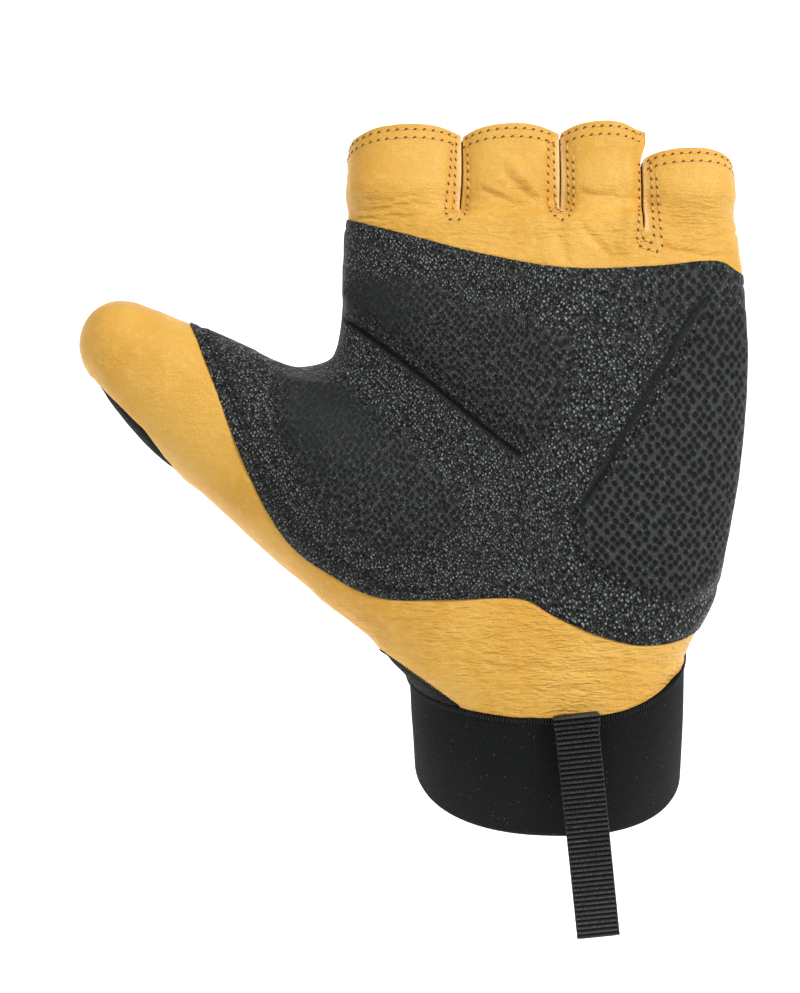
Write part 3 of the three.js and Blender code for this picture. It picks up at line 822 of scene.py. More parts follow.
def eye_row(tree, corners):
    """Places and outward ways on a surface along a line, as the eye sees the line."""
    row = []
    for start, end in zip(np.array(corners[:-1]), np.array(corners[1:])):
        count = int(np.hypot(*(end - start)) / ROW_STEP) + 1
        for share in np.arange(count) / count:
            x, z = start + (end - start) * share
            way = Vector((x, PALM_PLANE, z)) - Vector(EYE)
            place, normal, _, _ = tree.ray_cast(Vector(EYE) * MM, way.normalized())
            if place:
                row.append((place / MM, normal))
    return row


def hem_row(tree, finger, below):
    """Places and outward ways round a finger on a surface, a way below the rim."""
    middle, side, back, _, _ = finger_section(finger, finger["rim"] - ROOT_ROW["z"])
    up = side.cross(back).normalized()
    row = []
    for turn in np.arange(0, 360, 1.0):
        across, behind = math.cos(math.radians(turn)), math.sin(math.radians(turn))
        start = middle - up * (below + RIM_DROP * abs(across) ** RIM_CURVE)
        way = (side * across + back * behind).normalized()
        place, normal, _, _ = tree.ray_cast(start * MM, way)
        reach = (side * across + back * behind).length * MM
        if place and normal.dot(way) > 0 and (place - start * MM).length < HEM_REACH * reach:
            row.append((place / MM, normal))
    return row


def bead(bm, middle, axes, dark):
    """A small rounded body with three half axes. It keeps whether it is a needle-hole bead, whose dark
    colour is painted shade.
    """
    turn = Matrix([axis * MM for axis in axes]).transposed().to_4x4()
    made = bmesh.ops.create_uvsphere(bm, u_segments=6, v_segments=4, radius=1,
                                     matrix=Matrix.Translation(middle * MM) @ turn)
    for v in made["verts"]:
        v[bm.verts.layers.float["hole"]] = dark


def sew(bm, row, thread):
    """Stitches end to end along a row of places, with a dark bead of painted shade at the needle hole
    between them.
    """
    if "hole" not in bm.verts.layers.float:
        bm.verts.layers.float.new("hole")
    start = row[0][0]
    for place, normal in row[1:]:
        length = (place - start).length
        if length > 2 * thread["pitch"]:
            start = place
        if not thread["pitch"] <= length <= 2 * thread["pitch"]:
            continue
        along = (place - start).normalized()
        along = (along + normal.cross(along) * thread["slant"]).normalized()
        across = normal.cross(along).normalized()
        axes = (across * thread["thick"], normal * thread["thick"] * thread["flat"], along * thread["half"])
        bead(bm, (start + place) / 2 + normal * thread["raised"], axes, 0)
        # A dark bead at each needle hole is painted shade of the hole.
        if thread["hole"]:
            slanted = (along + across * HOLE_SLANT).normalized() * thread["hole"]
            axes = (slanted.cross(normal) * HOLE_WIDE, normal * HOLE_HIGH, slanted)
            bead(bm, start + normal * thread["raised"], axes, 1)
        start = place


stitch_mesh = bmesh.new()
for finger in FINGERS:
    for below in HEM_ROWS:
        sew(stitch_mesh, hem_row(leather_tree, finger, below), THREAD)
for row in SLIT_ROWS:
    sew(stitch_mesh, eye_row(leather_tree, row), THREAD)
leather_stitches = shown_object("leather_stitches", stitch_mesh)
leather_stitches.data.shade_smooth()
thread_finish, tree, shader = finish("brown_gold_thread", 0.6, 0.4)
where = node(tree, "ShaderNodeTexCoord").outputs["Object"]
twist = noisy(tree, where, 2500, 2)
tone = mixed(tree, twist, (0.78, 0.43, 0.08, 1), (0.88, 0.54, 0.14, 1))
# The needle-hole beads are dark brown: painted shade.
tone = mixed(tree, kept(tree, "hole"), tone, (0.17, 0.065, 0.011, 1))
tree.links.new(tone, shader.inputs["Base Color"])
bumped(tree, shader, twist, 0.0001)
leather_stitches.data.materials.append(thread_finish)
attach(leather_stitches, "root")

# Stretch fabric back
# Black knitted stretch fabric covers the back of the hand, fingers and thumb in one skin, and runs
# between the fingers. It is sewn to the leather along the side seams.
FABRIC = 1.5
KNIT = (0.85, 0.75)
UNROLL_STEP = 1.5
UNROLL_LOW, UNROLL_HIGH = (-112, -20), (54, 162)
UNROLL_LEVEL = 85
UNROLL_STEEP = 1.5
WRAP_FROM = 8.0


def unrolled(tree, way, spots):
    """Lengths across and along a skin, measured over its humps and round its sides, at spots."""
    xs, zs = (np.arange(low, high, UNROLL_STEP) for low, high in zip(UNROLL_LOW, UNROLL_HIGH))
    depths = np.zeros((len(zs), len(xs)))
    for depth, z in zip(depths, zs):
        hits = [tree.ray_cast(Vector((x, -90 * way, z)) * MM, Vector((0, way, 0)))[0] for x in xs]
        met = [i for i, hit in enumerate(hits) if hit]
        if met:
            depth[:] = np.interp(range(len(xs)), met, [hits[i].y / MM for i in met])
    slopes = [np.diff(depths, axis=1, prepend=depths[:, :1]), np.diff(depths, axis=0, prepend=depths[:1])]
    lengths = [np.hypot(UNROLL_STEP, np.clip(slope, -UNROLL_STEEP, UNROLL_STEEP)) for slope in slopes]
    across, along = np.cumsum(lengths[0], axis=1), np.cumsum(lengths[1], axis=0)
    across -= across[:, [np.searchsorted(xs, 0)]]
    along -= along[[np.searchsorted(zs, UNROLL_LEVEL)]]
    column, row = (spots[:, 0] - xs[0]) / UNROLL_STEP, (spots[:, 2] - zs[0]) / UNROLL_STEP
    i, j = row.astype(int), column.astype(int)
    up, right = row - i, column - j
    read = [(1 - up) * ((1 - right) * grid[i, j] + right * grid[i, j + 1])
            + up * ((1 - right) * grid[i + 1, j] + right * grid[i + 1, j + 1]) for grid in (across, along)]
    round_side = np.maximum(way * (spots[:, 1] - seam_place(spots)) + WRAP_FROM, 0)
    return np.stack([read[0] + np.sign(read[0]) * round_side, read[1], np.zeros(len(spots))], axis=1)


def marked_places(bm, name, rows):
    """Keeps coordinates for every vertex of a mesh, for its material to read."""
    layer = bm.verts.layers.float_vector.new(name)
    for v, row in zip(bm.verts, rows):
        v[layer] = Vector(row)


back_mesh.normal_update()
back_tree = BVHTree.FromBMesh(back_mesh)
spots = places(back_mesh)
seam_sink = round_over(np.maximum(behind_seam(spots), 0)) * (slit_gap(spots) > SEAM_CLEAR)
pushed(back_mesh.verts, -seam_sink - round_over(rim_gap(spots)))
thickened(back_mesh, np.full(len(spots), FABRIC))
marked_places(back_mesh, "knit", unrolled(back_tree, -1, places(back_mesh)) / [*KNIT, 1])
fabric_back = shown_object("stretch_back", back_mesh)
fabric_back.data.shade_smooth()
fabric_back.data.set_sharp_from_angle(angle=SHARP)


def kept_place(tree, name):
    """Coordinates that the mesh keeps at its vertices."""
    return node(tree, "ShaderNodeAttribute", attribute_name=name).outputs["Vector"]


woven, given, result = effect("woven_threads", {"Place": "Vector", "Fuzz": "Float"}, ["Height", "Tone"])
parts = node(woven, "ShaderNodeSeparateXYZ", {0: given["Place"]}).outputs
waves = [maths(woven, "SINE", maths(woven, "MULTIPLY", part, 2 * math.pi)) for part in (parts[0], parts[1])]
checks = maths(woven, "MULTIPLY_ADD", maths(woven, "MULTIPLY", *waves), 0.5, 0.5)
fuzz = noisy(woven, given["Place"], 2.3, 3)
threads = node(woven, "ShaderNodeMix", {0: given["Fuzz"], 2: checks, 3: fuzz}).outputs[0]
woven.links.new(threads, result["Height"])
woven.links.new(step(woven, maths(woven, "MULTIPLY_ADD", fuzz, 0.6, threads), 0.5, 1.2), result["Tone"])

lint, given, result = effect("lint", {"Place": "Vector", "Cells": "Float", "Share": "Float"}, ["Specks"])
cell = node(lint, "ShaderNodeTexVoronoi", {"Vector": given["Place"], "Scale": given["Cells"]}).outputs
near = maths(lint, "LESS_THAN", cell["Distance"], 0.22)
chance = node(lint, "ShaderNodeSeparateXYZ", {0: cell["Color"]}).outputs[0]
few = maths(lint, "LESS_THAN", chance, given["Share"])
lint.links.new(maths(lint, "MULTIPLY", near, few), result["Specks"])

fabric_finish, tree, shader = finish("black_stretch_knit", 0.85, 0.1)
shader.inputs["Sheen Weight"].default_value = 0.03
where = node(tree, "ShaderNodeTexCoord").outputs["Object"]
knit = placed(tree, woven, Place=kept_place(tree, "knit"), Fuzz=0.25)
tone = mixed(tree, knit["Tone"], (0.011, 0.0115, 0.0113, 1), (0.042, 0.044, 0.042, 1))
specks = placed(tree, lint, Place=where, Cells=900, Share=0.02)["Specks"]
tone = mixed(tree, specks, tone, (0.09, 0.095, 0.10, 1))
tree.links.new(tone, shader.inputs["Base Color"])
bumped(tree, shader, knit["Height"], 0.00025)
fabric_back.data.materials.append(fabric_finish)
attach(fabric_back, "root")
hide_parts("hand_back", "thumb_back", "index_back", "middle_back", "ring_back", "little_back")

# Back stitches
# The fabric's own hems at the finger rims are sewn with the same double rows in black thread.
BLACK_THREAD = dict(pitch=2.0, half=0.95, thick=0.2, flat=1, raised=0.08, slant=0.12, hole=0)
stitch_mesh = bmesh.new()
for finger in FINGERS:
    for below in HEM_ROWS:
        sew(stitch_mesh, hem_row(back_tree, finger, below), BLACK_THREAD)
back_stitches = shown_object("back_stitches", stitch_mesh)
back_stitches.data.shade_smooth()
black_thread, tree, shader = finish("black_thread", 0.6, 0.15)
twist = noisy(tree, node(tree, "ShaderNodeTexCoord").outputs["Object"], 2500, 2)
tone = mixed(tree, twist, (0.006, 0.006, 0.006, 1), (0.03, 0.03, 0.03, 1))
tree.links.new(tone, shader.inputs["Base Color"])
bumped(tree, shader, twist, 0.0001)
back_stitches.data.materials.append(black_thread)
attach(back_stitches, "root")

# Padded palm overlay
# Black synthetic leather with a pressed pit lattice is sewn over the palm, the heel and the web of
# the thumb. Three foam pads under it stand about 2 mm proud, and a line is pressed along two of them.
PADS = [
    dict(slope=6.5, outline=[
        (-54, 119), (-36.9, 118.9), (-17.6, 113.6), (5, 104.6), (7.4, 100.8), (3.5, 85.5), (-4, 75.5),
        (-8.1, 75.1), (-21.6, 85), (-38.7, 99.2), (-54, 110)]),
    dict(slope=5.5, outline=[
        (-65.4, 96), (-50.3, 94.8), (-36.4, 83.6), (-23.6, 70.9), (-19.7, 62.8), (-23.6, 54.6),
        (-31.8, 51.2), (-41, 50.7), (-49.2, 54.6), (-57.3, 62.8), (-63.8, 73.2), (-67, 83.6), (-67, 91.8)]),
    dict(slope=3.6, outline=[
        (33.5, 109), (23.9, 93.2), (15.3, 79.2), (4.7, 66.9), (1.4, 59.1), (4, 51.5), (12.1, 45.6),
        (24.4, 40), (31.6, 40.3), (44, 50), (60, 60), (60, 110), (45, 111.5)]),
]
PAD_RISE = 1.6
PAD_CROWN = 0.8
CROWN_WIDE = 15
PRESSED_LINES = [
    dict(path=[(-49.2, 107.0), (-38.5, 99.0), (-28.6, 91.3), (-18.4, 82.8), (-9.0, 75.5)],
         deep=0.7, wide=0.45, dark=1),
    dict(path=[(34.0, 111.0), (31.3, 107.8), (21.0, 90.1), (10.9, 72.4), (6.0, 64.5)],
         deep=0.35, wide=0.9, dark=0.45),
]
PATCH_GAP = 0.3
PATCH_EDGE = 0.4
PATCH_BODY = 0.5
PATCH_ROUND = 1.6
PATCH_SWELL = dict(high=0.25, wide=6)
FACING_FROM, FACING_SPAN = 0.3, 0.55
SEAM_IN = (2.2, 3.4)
SEAM_DIP = dict(deep=0.25, wide=0.5)
PAD_FLAT = dict(start=0.5, wide=4.5)
STRIP_WIDE = 0.9
HEEL_PAD_FROM = 12
NET_PITCH = (1.1, 1.5)
NET_GROWS = dict(x=-15, wide=20)
NET_TALL = 1.2
NET_WAVE = 25
NET_SWAY = 1.2
CALM_SPOT = dict(x=32, z=114, wide=15)
MATT_SPOTS = [dict(x=-55, z=86, wide=15), dict(x=-41, z=112, wide=11)]


def in_spot(points, spot):
    """How much points belong to a round spot, from 0 to 1."""
    return hump(np.hypot(points[:, 0] - spot["x"], points[:, 1] - spot["z"]), spot["wide"])


pad_edges = [curved(pad["outline"]) for pad in PADS]
part_along(front_mesh, inside(seen(places(front_mesh)), patch_edge))
patch_mesh = one_side(front_mesh, 1)
patch_mesh.normal_update()
front_tree = BVHTree.FromBMesh(patch_mesh)
for v in patch_mesh.verts:
    v.co += v.normal * (PATCH_GAP + PATCH_EDGE - PATCH_SUNK) * MM
top_faces = set(patch_mesh.faces)
thickened(patch_mesh, np.full(len(patch_mesh.verts), PATCH_EDGE))
top_edges = [e for e in patch_mesh.edges if any(f in top_faces for f in e.link_faces)]
top = patch_mesh.verts.layers.int.new("top")
for v in {v for e in top_edges for v in e.verts}:
    v[top] = 1
split = bmesh.ops.subdivide_edges(patch_mesh, edges=top_edges, cuts=1, use_grid_fill=True)
for v in [g for g in split["geom_inner"] if isinstance(g, bmesh.types.BMVert)]:
    v[top] = 1
patch_mesh.normal_update()
top_verts = [v for v in patch_mesh.verts if v[top] == 1]
spots = np.array([v.co[:] for v in top_verts]) / MM
points = seen(spots)
deep_inside = inside(points, patch_edge)
facing = ease((-np.array([v.normal.y for v in top_verts]) - FACING_FROM) / FACING_SPAN)
rise = PATCH_BODY * ease(deep_inside / PATCH_ROUND) * facing
for pad, edge in zip(PADS, pad_edges):
    within = inside(points, edge)
    rise += facing * (PAD_RISE * ease(within / pad["slope"]) + PAD_CROWN * ease(within / CROWN_WIDE))
for line in PRESSED_LINES:
    rise -= facing * line["deep"] * hump(from_line(points, line["path"]), line["wide"])
rise -= SEAM_DIP["deep"] * hump(deep_inside - SEAM_IN[0], SEAM_DIP["wide"])
rise += facing * [PATCH_SWELL["high"] * noise.noise(Vector(spot) / PATCH_SWELL["wide"]) for spot in spots]
pushed(top_verts, rise)
spots = places(patch_mesh)
points = seen(spots)
on_pads = [ease((inside(points, edge) - PAD_FLAT["start"]) / PAD_FLAT["wide"]) for edge in pad_edges]
on_pad = np.max(on_pads, axis=0)
line_gaps = [from_line(points, line["path"]) for line in PRESSED_LINES]
smooth_strips = np.max([hump(gap, STRIP_WIDE) for gap in line_gaps], axis=0)
# The pressed lines are painted darker: painted shade in their grooves.
groove_shades = [line["dark"] * hump(gap, line["wide"]) for gap, line in zip(line_gaps, PRESSED_LINES)]
marked(patch_mesh, "groove_shade", np.max(groove_shades, axis=0))
calm = in_spot(points, CALM_SPOT)
towards_heel = ease(points[:, 0] / HEEL_PAD_FROM)
# The valleys between the pads get a looser lattice, painted glints and painted shade.
marked(patch_mesh, "valley", (1 - on_pad * (0.55 + 0.45 * towards_heel)) * (1 - 0.8 * calm))
# Glint spots mark where the nubs between the pits are painted bright: painted glints.
few_glints = on_pad * (0.55 + 0.25 * towards_heel) + 0.7 * calm
marked(patch_mesh, "glint_spots", np.clip(1 - few_glints, 0, 1) * (1 - 0.9 * smooth_strips))
matt = np.max([in_spot(points, spot) for spot in MATT_SPOTS], axis=0)
marked(patch_mesh, "matt", np.maximum(matt * on_pad, smooth_strips))
lengths = unrolled(front_tree, 1, spots)
for axis in (0, 1):
    shift = Vector((0, 0, 9 * axis))
    lengths[:, axis] += [NET_SWAY * noise.noise(Vector(spot) / NET_WAVE + shift) for spot in spots]
grows = ease((spots[:, [0]] - NET_GROWS["x"]) / NET_GROWS["wide"])
pitch = NET_PITCH[0] + (NET_PITCH[1] - NET_PITCH[0]) * grows
lengths /= pitch * [1, NET_TALL, 1]
net = np.stack([lengths[:, 0] + lengths[:, 1], lengths[:, 0] - lengths[:, 1], np.zeros(len(spots))], axis=1)
marked_places(patch_mesh, "net", net * math.sqrt(0.5))
patch_tree = BVHTree.FromBMesh(patch_mesh)
palm_patch = shown_object("palm_overlay", patch_mesh)
palm_patch.data.shade_smooth()

patch_finish, tree, shader = finish("black_pitted_overlay", 0.5, 0.17)
where = node(tree, "ShaderNodeTexCoord").outputs["Object"]
net, valley, matt = kept_place(tree, "net"), kept(tree, "valley"), kept(tree, "matt")
glint_spots = kept(tree, "glint_spots")
ragged = node(tree, "ShaderNodeTexNoise", {"Vector": net, "Scale": 1.7, "Detail": 2}).outputs["Color"]
net = node(tree, "ShaderNodeMix", {0: 0.12, 4: net, 5: ragged}, data_type="VECTOR",
           clamp_factor=False).outputs[1]
loose = maths(tree, "MULTIPLY_ADD", valley, 0.4, 0.42)
pit_gap = node(tree, "ShaderNodeTexVoronoi", {"Vector": net, "Scale": 1, "Randomness": loose},
               voronoi_dimensions="2D").outputs["Distance"]
lines = step(tree, pit_gap, 0.18, 0.5)
highlit_crests = step(tree, pit_gap, 0.4, 0.6)
mottle = step(tree, noisy(tree, net, 3.2, 3), 0.3, 0.7)


def nub(cells, reach):
    """Small raised nubs between the pits, each of its own strength. Where they are painted bright they are
    painted glints.
    """
    cell = node(tree, "ShaderNodeTexVoronoi", {"Vector": net, "Scale": cells, "Randomness": 0.85},
                voronoi_dimensions="2D").outputs
    near = maths(tree, "SUBTRACT", 1.0, step(tree, cell["Distance"], 0.04, reach))
    shine = node(tree, "ShaderNodeSeparateXYZ", {0: cell["Color"]}).outputs[0]
    return maths(tree, "MULTIPLY", near, maths(tree, "MULTIPLY", shine, shine))


knots = maths(tree, "MULTIPLY_ADD", nub(3.1, 0.42), 0.45, nub(1.8, 0.38))
between_pits = maths(tree, "MULTIPLY", glint_spots, maths(tree, "MAXIMUM", lines, valley))
painted_glints = maths(tree, "MULTIPLY", knots, between_pits)
grain = placed(tree, leather_grain, Place=where, Cells=2200)
clear = maths(tree, "SUBTRACT", 1.0, maths(tree, "MULTIPLY", matt, 0.85))
tone = mixed(tree, mottle, (0.018, 0.0205, 0.0195, 1), (0.038, 0.0415, 0.039, 1))
# The pits are painted darker than the net between them: painted shade in the pits.
tone = mixed(tree, lines, (0.0045, 0.0055, 0.0052, 1), tone)
# The ridges between the pits are painted lighter: painted highlight.
tone = tinted(tree, tone, highlit_crests, 0.35, (0.075, 0.08, 0.076, 1))
# The valleys between the pads are painted near black: painted shade.
tone = tinted(tree, tone, valley, 0.72, (0.0035, 0.0045, 0.0042, 1))
# Bright specks on the nubs are painted glints.
tone = mixed(tree, painted_glints, tone, (0.46, 0.49, 0.48, 1))
tone = tinted(tree, tone, matt, 0.8, (0.0145, 0.0168, 0.0158, 1))
# Painted shade along the pressed grooves.
tone = mixed(tree, kept(tree, "groove_shade"), tone, (0.002, 0.0025, 0.0023, 1))
tree.links.new(tone, shader.inputs["Base Color"])
tree.links.new(maths(tree, "MULTIPLY_ADD", painted_glints, -0.2, 0.58), shader.inputs["Roughness"])
height = maths(tree, "MULTIPLY", maths(tree, "ADD", lines, knots), clear)
height = maths(tree, "MULTIPLY_ADD", maths(tree, "MULTIPLY", mottle, clear), 0.25, height)
height = maths(tree, "MULTIPLY_ADD", grain["Height"], 0.12, height)
bumped(tree, shader, height, 0.00022)
palm_patch.data.materials.append(patch_finish)
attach(palm_patch, "root")
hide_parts("palm_patch", "pad_index", "pad_thumb", "pad_heel")

# Overlay stitches
# Two rows of black thread hold the overlay down along the thumb, one beside the other, a little
# inside its edge.
THUMB_SEAM = [
    (-84.0, 103.4), (-79.6, 93.4), (-72.0, 72.6), (-62.8, 56.4), (-52.4, 48.6), (-41.0, 42.9), (-30.0, 43.0),
]
SEAM_INWARD = (0.85, 0.53)
stitch_mesh = bmesh.new()
for inset in SEAM_IN:
    row = [np.array(corner) + (inset * SEAM_INWARD[0], inset * SEAM_INWARD[1]) for corner in THUMB_SEAM]
    sew(stitch_mesh, eye_row(patch_tree, row), BLACK_THREAD)
overlay_stitches = shown_object("overlay_stitches", stitch_mesh)
overlay_stitches.data.shade_smooth()
overlay_stitches.data.materials.append(black_thread)
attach(overlay_stitches, "root")

# Elastic cuff
# A band of woven black elastic closes the wrist. Its upper edge is sewn into the seam of the hand,
# and its lower edge is turned in.
ELASTIC = 2.0
CUFF_TOP = WRIST_LEVEL - 0.002
CUFF_SIDES = 144
CUFF_ROLL = 0.9
CUFF_HALF = (32, 24)
CUFF_WEAVE = (250, 0.74)
outer_levels = [0.012 + (CUFF_TOP - 0.02) * i / 24 for i in range(25)]
profile = [(0.0, -1.0), (0.003, -0.35)] + [(level, 0.0) for level in outer_levels]
profile += [(CUFF_TOP - 0.003, -0.3), (CUFF_TOP, -1.0), (CUFF_TOP - 0.003, -1.7)]
profile += [(level, -ELASTIC) for level in outer_levels[::-6]] + [(0.003, -1.65)]
cuff_tall = wrist_middle.length


def hung(place):
    """A place of the cuff, in millimetres, moved as the cuff's upper edge climbs and its rim rolls."""
    share = float(ease(place.dot(WRIST_WAY) / cuff_tall))
    rolled = CUFF_ROLL * place.x / CUFF_HALF[0] * (1 - share)
    return place + WRIST_WAY * (float(wrist_rise(place.x)) * share - rolled)


cuff_mesh = bmesh.new()
rings = [ring(cuff_mesh, hand_section(level, grown), CUFF_SIDES) for level, grown in profile]
for lower, upper in zip(rings, rings[1:] + rings[:1]):
    bmesh.ops.bridge_loops(cuff_mesh, edges=lower + upper)
for v in cuff_mesh.verts:
    v.co = hung(v.co / MM) * MM
bmesh.ops.recalc_face_normals(cuff_mesh, faces=cuff_mesh.faces)
spots = places(cuff_mesh)
tall = spots @ np.array(WRIST_WAY)
axis_y = tall / cuff_tall * wrist_middle.y
around = np.arctan2(spots[:, 0] / CUFF_HALF[0], (axis_y - spots[:, 1]) / CUFF_HALF[1]) / (2 * math.pi)
marked_places(cuff_mesh, "weave", np.stack([around * CUFF_WEAVE[0], tall / CUFF_WEAVE[1], tall * 0], axis=1))
cuff = shown_object("elastic_cuff", cuff_mesh)
cuff.data.shade_smooth()
cuff_finish, tree, shader = finish("black_woven_elastic", 0.85, 0.08)
shader.inputs["Sheen Weight"].default_value = 0.03
weave = kept_place(tree, "weave")
threads = placed(tree, woven, Place=weave, Fuzz=0.35)
bands = noisy(tree, scaled(tree, weave, 0.02, 0.9, 1), 1, 1)
tone = mixed(tree, threads["Tone"], (0.0008, 0.0013, 0.0012, 1), (0.0174, 0.0194, 0.0188, 1))
tone = tinted(tree, tone, step(tree, bands, 0.4, 0.7), 0.3, (0.011, 0.0122, 0.0122, 1))
specks = placed(tree, lint, Place=weave, Cells=1.1, Share=0.05)["Specks"]
tone = tinted(tree, tone, specks, 0.7, (0.12, 0.125, 0.13, 1))
tree.links.new(tone, shader.inputs["Base Color"])
bumped(tree, shader, threads["Height"], 0.0002)
cuff.data.materials.append(cuff_finish)
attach(cuff, "root")
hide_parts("cuff")

# Overlock thread
# Black overlock thread wraps the cuff's upper edge in close upright stitches, and edges the leather
# where the stretch fabric comes round to the front.
OVERLOCK = dict(pitch=0.6, half=0.85, thick=0.27, flat=1, raised=0.05, slant=12, hole=0)
OVERLOCK_DROP = 0.1
EDGE_OVERLOCK = dict(OVERLOCK, pitch=0.6, half=0.42)
OVERLOCK_INSET = (0.3, 0.25)
stitch_mesh = bmesh.new()
middle, side, back, power, _ = hand_section(CUFF_TOP - 0.004, 0.1)
row = []
for turn in np.arange(0, 360.3, 0.2):
    across, behind = squared(math.radians(turn), power)
    place = middle + side * across + back * behind - WRIST_WAY * OVERLOCK_DROP
    row.append((hung(place), (side.normalized() * across + back.normalized() * behind).normalized()))
sew(stitch_mesh, row, OVERLOCK)
fabric_edge = np.array(FABRIC_IN_FRONT[1][:4]) + OVERLOCK_INSET
sew(stitch_mesh, eye_row(leather_tree, fabric_edge), EDGE_OVERLOCK)
overlock = shown_object("overlock_thread", stitch_mesh)
overlock.data.shade_smooth()
overlock.data.materials.append(black_thread)
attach(overlock, "root")

# Pull tab
# A strip of ribbed black webbing 10 mm wide is folded into a loop and its two ends are sewn together
# over the cuff seam. It helps to pull the glove on.
TAB = dict(width=10.3, strap=1.2, fold=0.5, length=58.5, slant=6.6, lean=20.0, x=4.2, y=-38.9, z=15.5)
RIB = 1.28
RIB_STEPS = 4
RIB_SIDE = 0.15
RIB_HIGH = 0.28
TAB_BAND = dict(along=3.0, more=0.3)
TAB_POWER = 7
TAB_SIDES = 28
tab_turn = TAB["fold"] / 2 + TAB["strap"] / 2
tab_straight = TAB["length"] - TAB["fold"] / 2 - TAB["strap"]
tab_path = tab_straight * 2 + math.pi * tab_turn
tab_place = (Matrix.Translation(Vector((TAB["x"], TAB["y"], TAB["z"])))
             @ Matrix.Rotation(math.radians(TAB["lean"]), 4, "X")
             @ Matrix.Rotation(math.radians(-TAB["slant"]), 4, "Y"))


def tab_route(along):
    """The middle of the strap and its outward way at a length along the loop."""
    if along < tab_straight:
        return Vector((0, -tab_turn, -along)), Vector((0, -1, 0))
    if along > tab_path - tab_straight:
        return Vector((0, tab_turn, along - tab_path)), Vector((0, 1, 0))
    turn = (along - tab_straight) / tab_turn
    outward = Vector((0, -math.cos(turn), -math.sin(turn)))
    return Vector((0, 0, -tab_straight)) + outward * tab_turn, outward


tab_mesh = bmesh.new()
weave = tab_mesh.verts.layers.float_vector.new("weave")
rib = tab_mesh.verts.layers.float.new("rib")
rings = []
for i in range(int(tab_path / RIB * RIB_STEPS) + 1):
    along = i * RIB / RIB_STEPS
    middle, outward = tab_route(along)
    swell = math.cos(2 * math.pi * along / RIB)
    band = TAB_BAND["more"] if along < TAB_BAND["along"] else 0
    side = Vector((TAB["width"] / 2 - RIB_SIDE + RIB_SIDE * swell + band, 0, 0))
    thick = outward * (TAB["strap"] / 2 - RIB_HIGH + RIB_HIGH * swell + band)
    edges = ring(tab_mesh, (middle, side, thick, TAB_POWER, 0), TAB_SIDES)
    for v in {v for edge in edges for v in edge.verts}:
        v[weave] = Vector((v.co.x / MM / 0.5, along / RIB, 0))
        v[rib] = 0.5 + 0.5 * swell
    rings.append(edges)
for lower, upper in zip(rings, rings[1:]):
    bmesh.ops.bridge_loops(tab_mesh, edges=lower + upper)
for end in (rings[0], rings[-1]):
    bmesh.ops.contextual_create(tab_mesh, geom=end)
bmesh.ops.recalc_face_normals(tab_mesh, faces=tab_mesh.faces)
for v in tab_mesh.verts:
    v.co = tab_place @ (v.co / MM) * MM
tab_tree = BVHTree.FromBMesh(tab_mesh)
pull_tab = shown_object("webbing_pull_tab", tab_mesh)
pull_tab.data.shade_smooth()
tab_finish, tree, shader = finish("black_webbing", 0.6, 0.08)
threads = placed(tree, woven, Place=kept_place(tree, "weave"), Fuzz=0.5)
# The rib crests are painted light and the troughs near black: painted highlight and painted shade on the
# ribs.
highlit_crests = kept(tree, "rib")
highlit_crests = maths(tree, "MULTIPLY", highlit_crests, highlit_crests)
lit = maths(tree, "MULTIPLY", highlit_crests, threads["Tone"])
tone = mixed(tree, lit, (0.0016, 0.002, 0.0019, 1), (0.17, 0.178, 0.172, 1))
tree.links.new(tone, shader.inputs["Base Color"])
bumped(tree, shader, threads["Height"], 0.0002)
pull_tab.data.materials.append(tab_finish)
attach(pull_tab, "root")
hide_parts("pull_tab")

# Tab stitches
# Two rows of black thread across the folded top of the tab hold it on the seam.
TAB_THREAD = dict(pitch=1.3, half=0.6, thick=0.2, flat=1, raised=0.05, slant=0.1, hole=0)
TAB_ROWS = (0.9, 2.5)
stitch_mesh = bmesh.new()
for below in TAB_ROWS:
    ends = [tab_place @ Vector((x, -2, -below)) for x in (-4.6, 4.6)]
    sew(stitch_mesh, eye_row(tab_tree, seen(np.array([end[:] for end in ends]))), TAB_THREAD)
tab_stitches = shown_object("tab_stitches", stitch_mesh)
tab_stitches.data.shade_smooth()
tab_stitches.data.materials.append(black_thread)
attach(tab_stitches, "root")

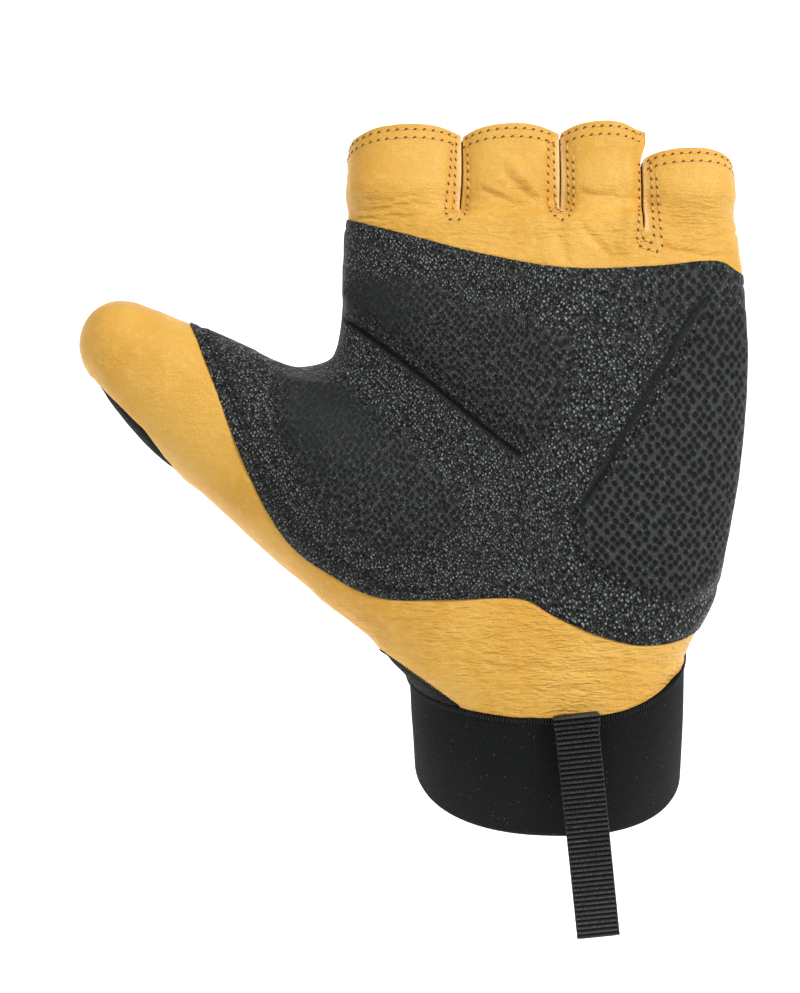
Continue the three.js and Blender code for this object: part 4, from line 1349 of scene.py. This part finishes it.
# Floor and light
# The glove is held up in a white studio, over a pale floor that bends up into a pale wall, in soft
# light from large lamps.
FLOOR = -45.0
FLOOR_FRONT, FLOOR_BACK = -0.06, 3.2
FLOOR_BEND = 0.8
LIT_MIDDLE = (-20, -20, 60)
floor_mesh = bmesh.new()
bmesh.ops.create_grid(floor_mesh, x_segments=1, y_segments=40, size=1)
for v in floor_mesh.verts:
    y = FLOOR_FRONT + (FLOOR_BACK - FLOOR_FRONT) * (v.co.y + 1) / 2
    v.co = Vector((v.co.x * 3, y, FLOOR * MM + max(y - FLOOR_BEND, 0) ** 2 * 0.9))
floor = shown_object("pale_floor", floor_mesh)
floor.data.shade_smooth()
floor_finish, tree, shader = finish("pale_floor", 0.9, 0.0)
shader.inputs["Base Color"].default_value = (0.9, 0.9, 0.9, 1)
shader.inputs["Emission Color"].default_value = (1, 1, 1, 1)
shader.inputs["Emission Strength"].default_value = 0.85
floor.data.materials.append(floor_finish)


def lamp(name, place, size, power):
    """A square soft lamp that faces the glove."""
    light = bpy.data.objects.new(name, bpy.data.lights.new(name, "AREA"))
    bpy.context.scene.collection.objects.link(light)
    light.location = Vector(place) * MM
    way = Vector(LIT_MIDDLE) * MM - light.location
    light.rotation_euler = way.to_track_quat("-Z", "Y").to_euler()
    light.data.size = size * MM
    light.data.energy = power


lamp("key_lamp", (650, -850, 600), 500, 10.2)
lamp("fill_lamp", (-700, -800, 150), 600, 2.8)
world = bpy.data.worlds.new("studio")
bpy.context.scene.world = world
world.use_nodes = True
tree = world.node_tree
straight = node(tree, "ShaderNodeLightPath").outputs["Is Camera Ray"]
way = node(tree, "ShaderNodeTexCoord").outputs["Generated"]
above = step(tree, node(tree, "ShaderNodeSeparateXYZ", {0: way}).outputs[2], -0.6, 0.8)
sky = mixed(tree, above, (0.22, 0.22, 0.22, 1), (0.5, 0.5, 0.5, 1))
sky = mixed(tree, straight, sky, (1, 1, 1, 1))
tree.links.new(sky, tree.nodes["Background"].inputs["Color"])
bpy.context.scene.view_settings.view_transform = "Standard"
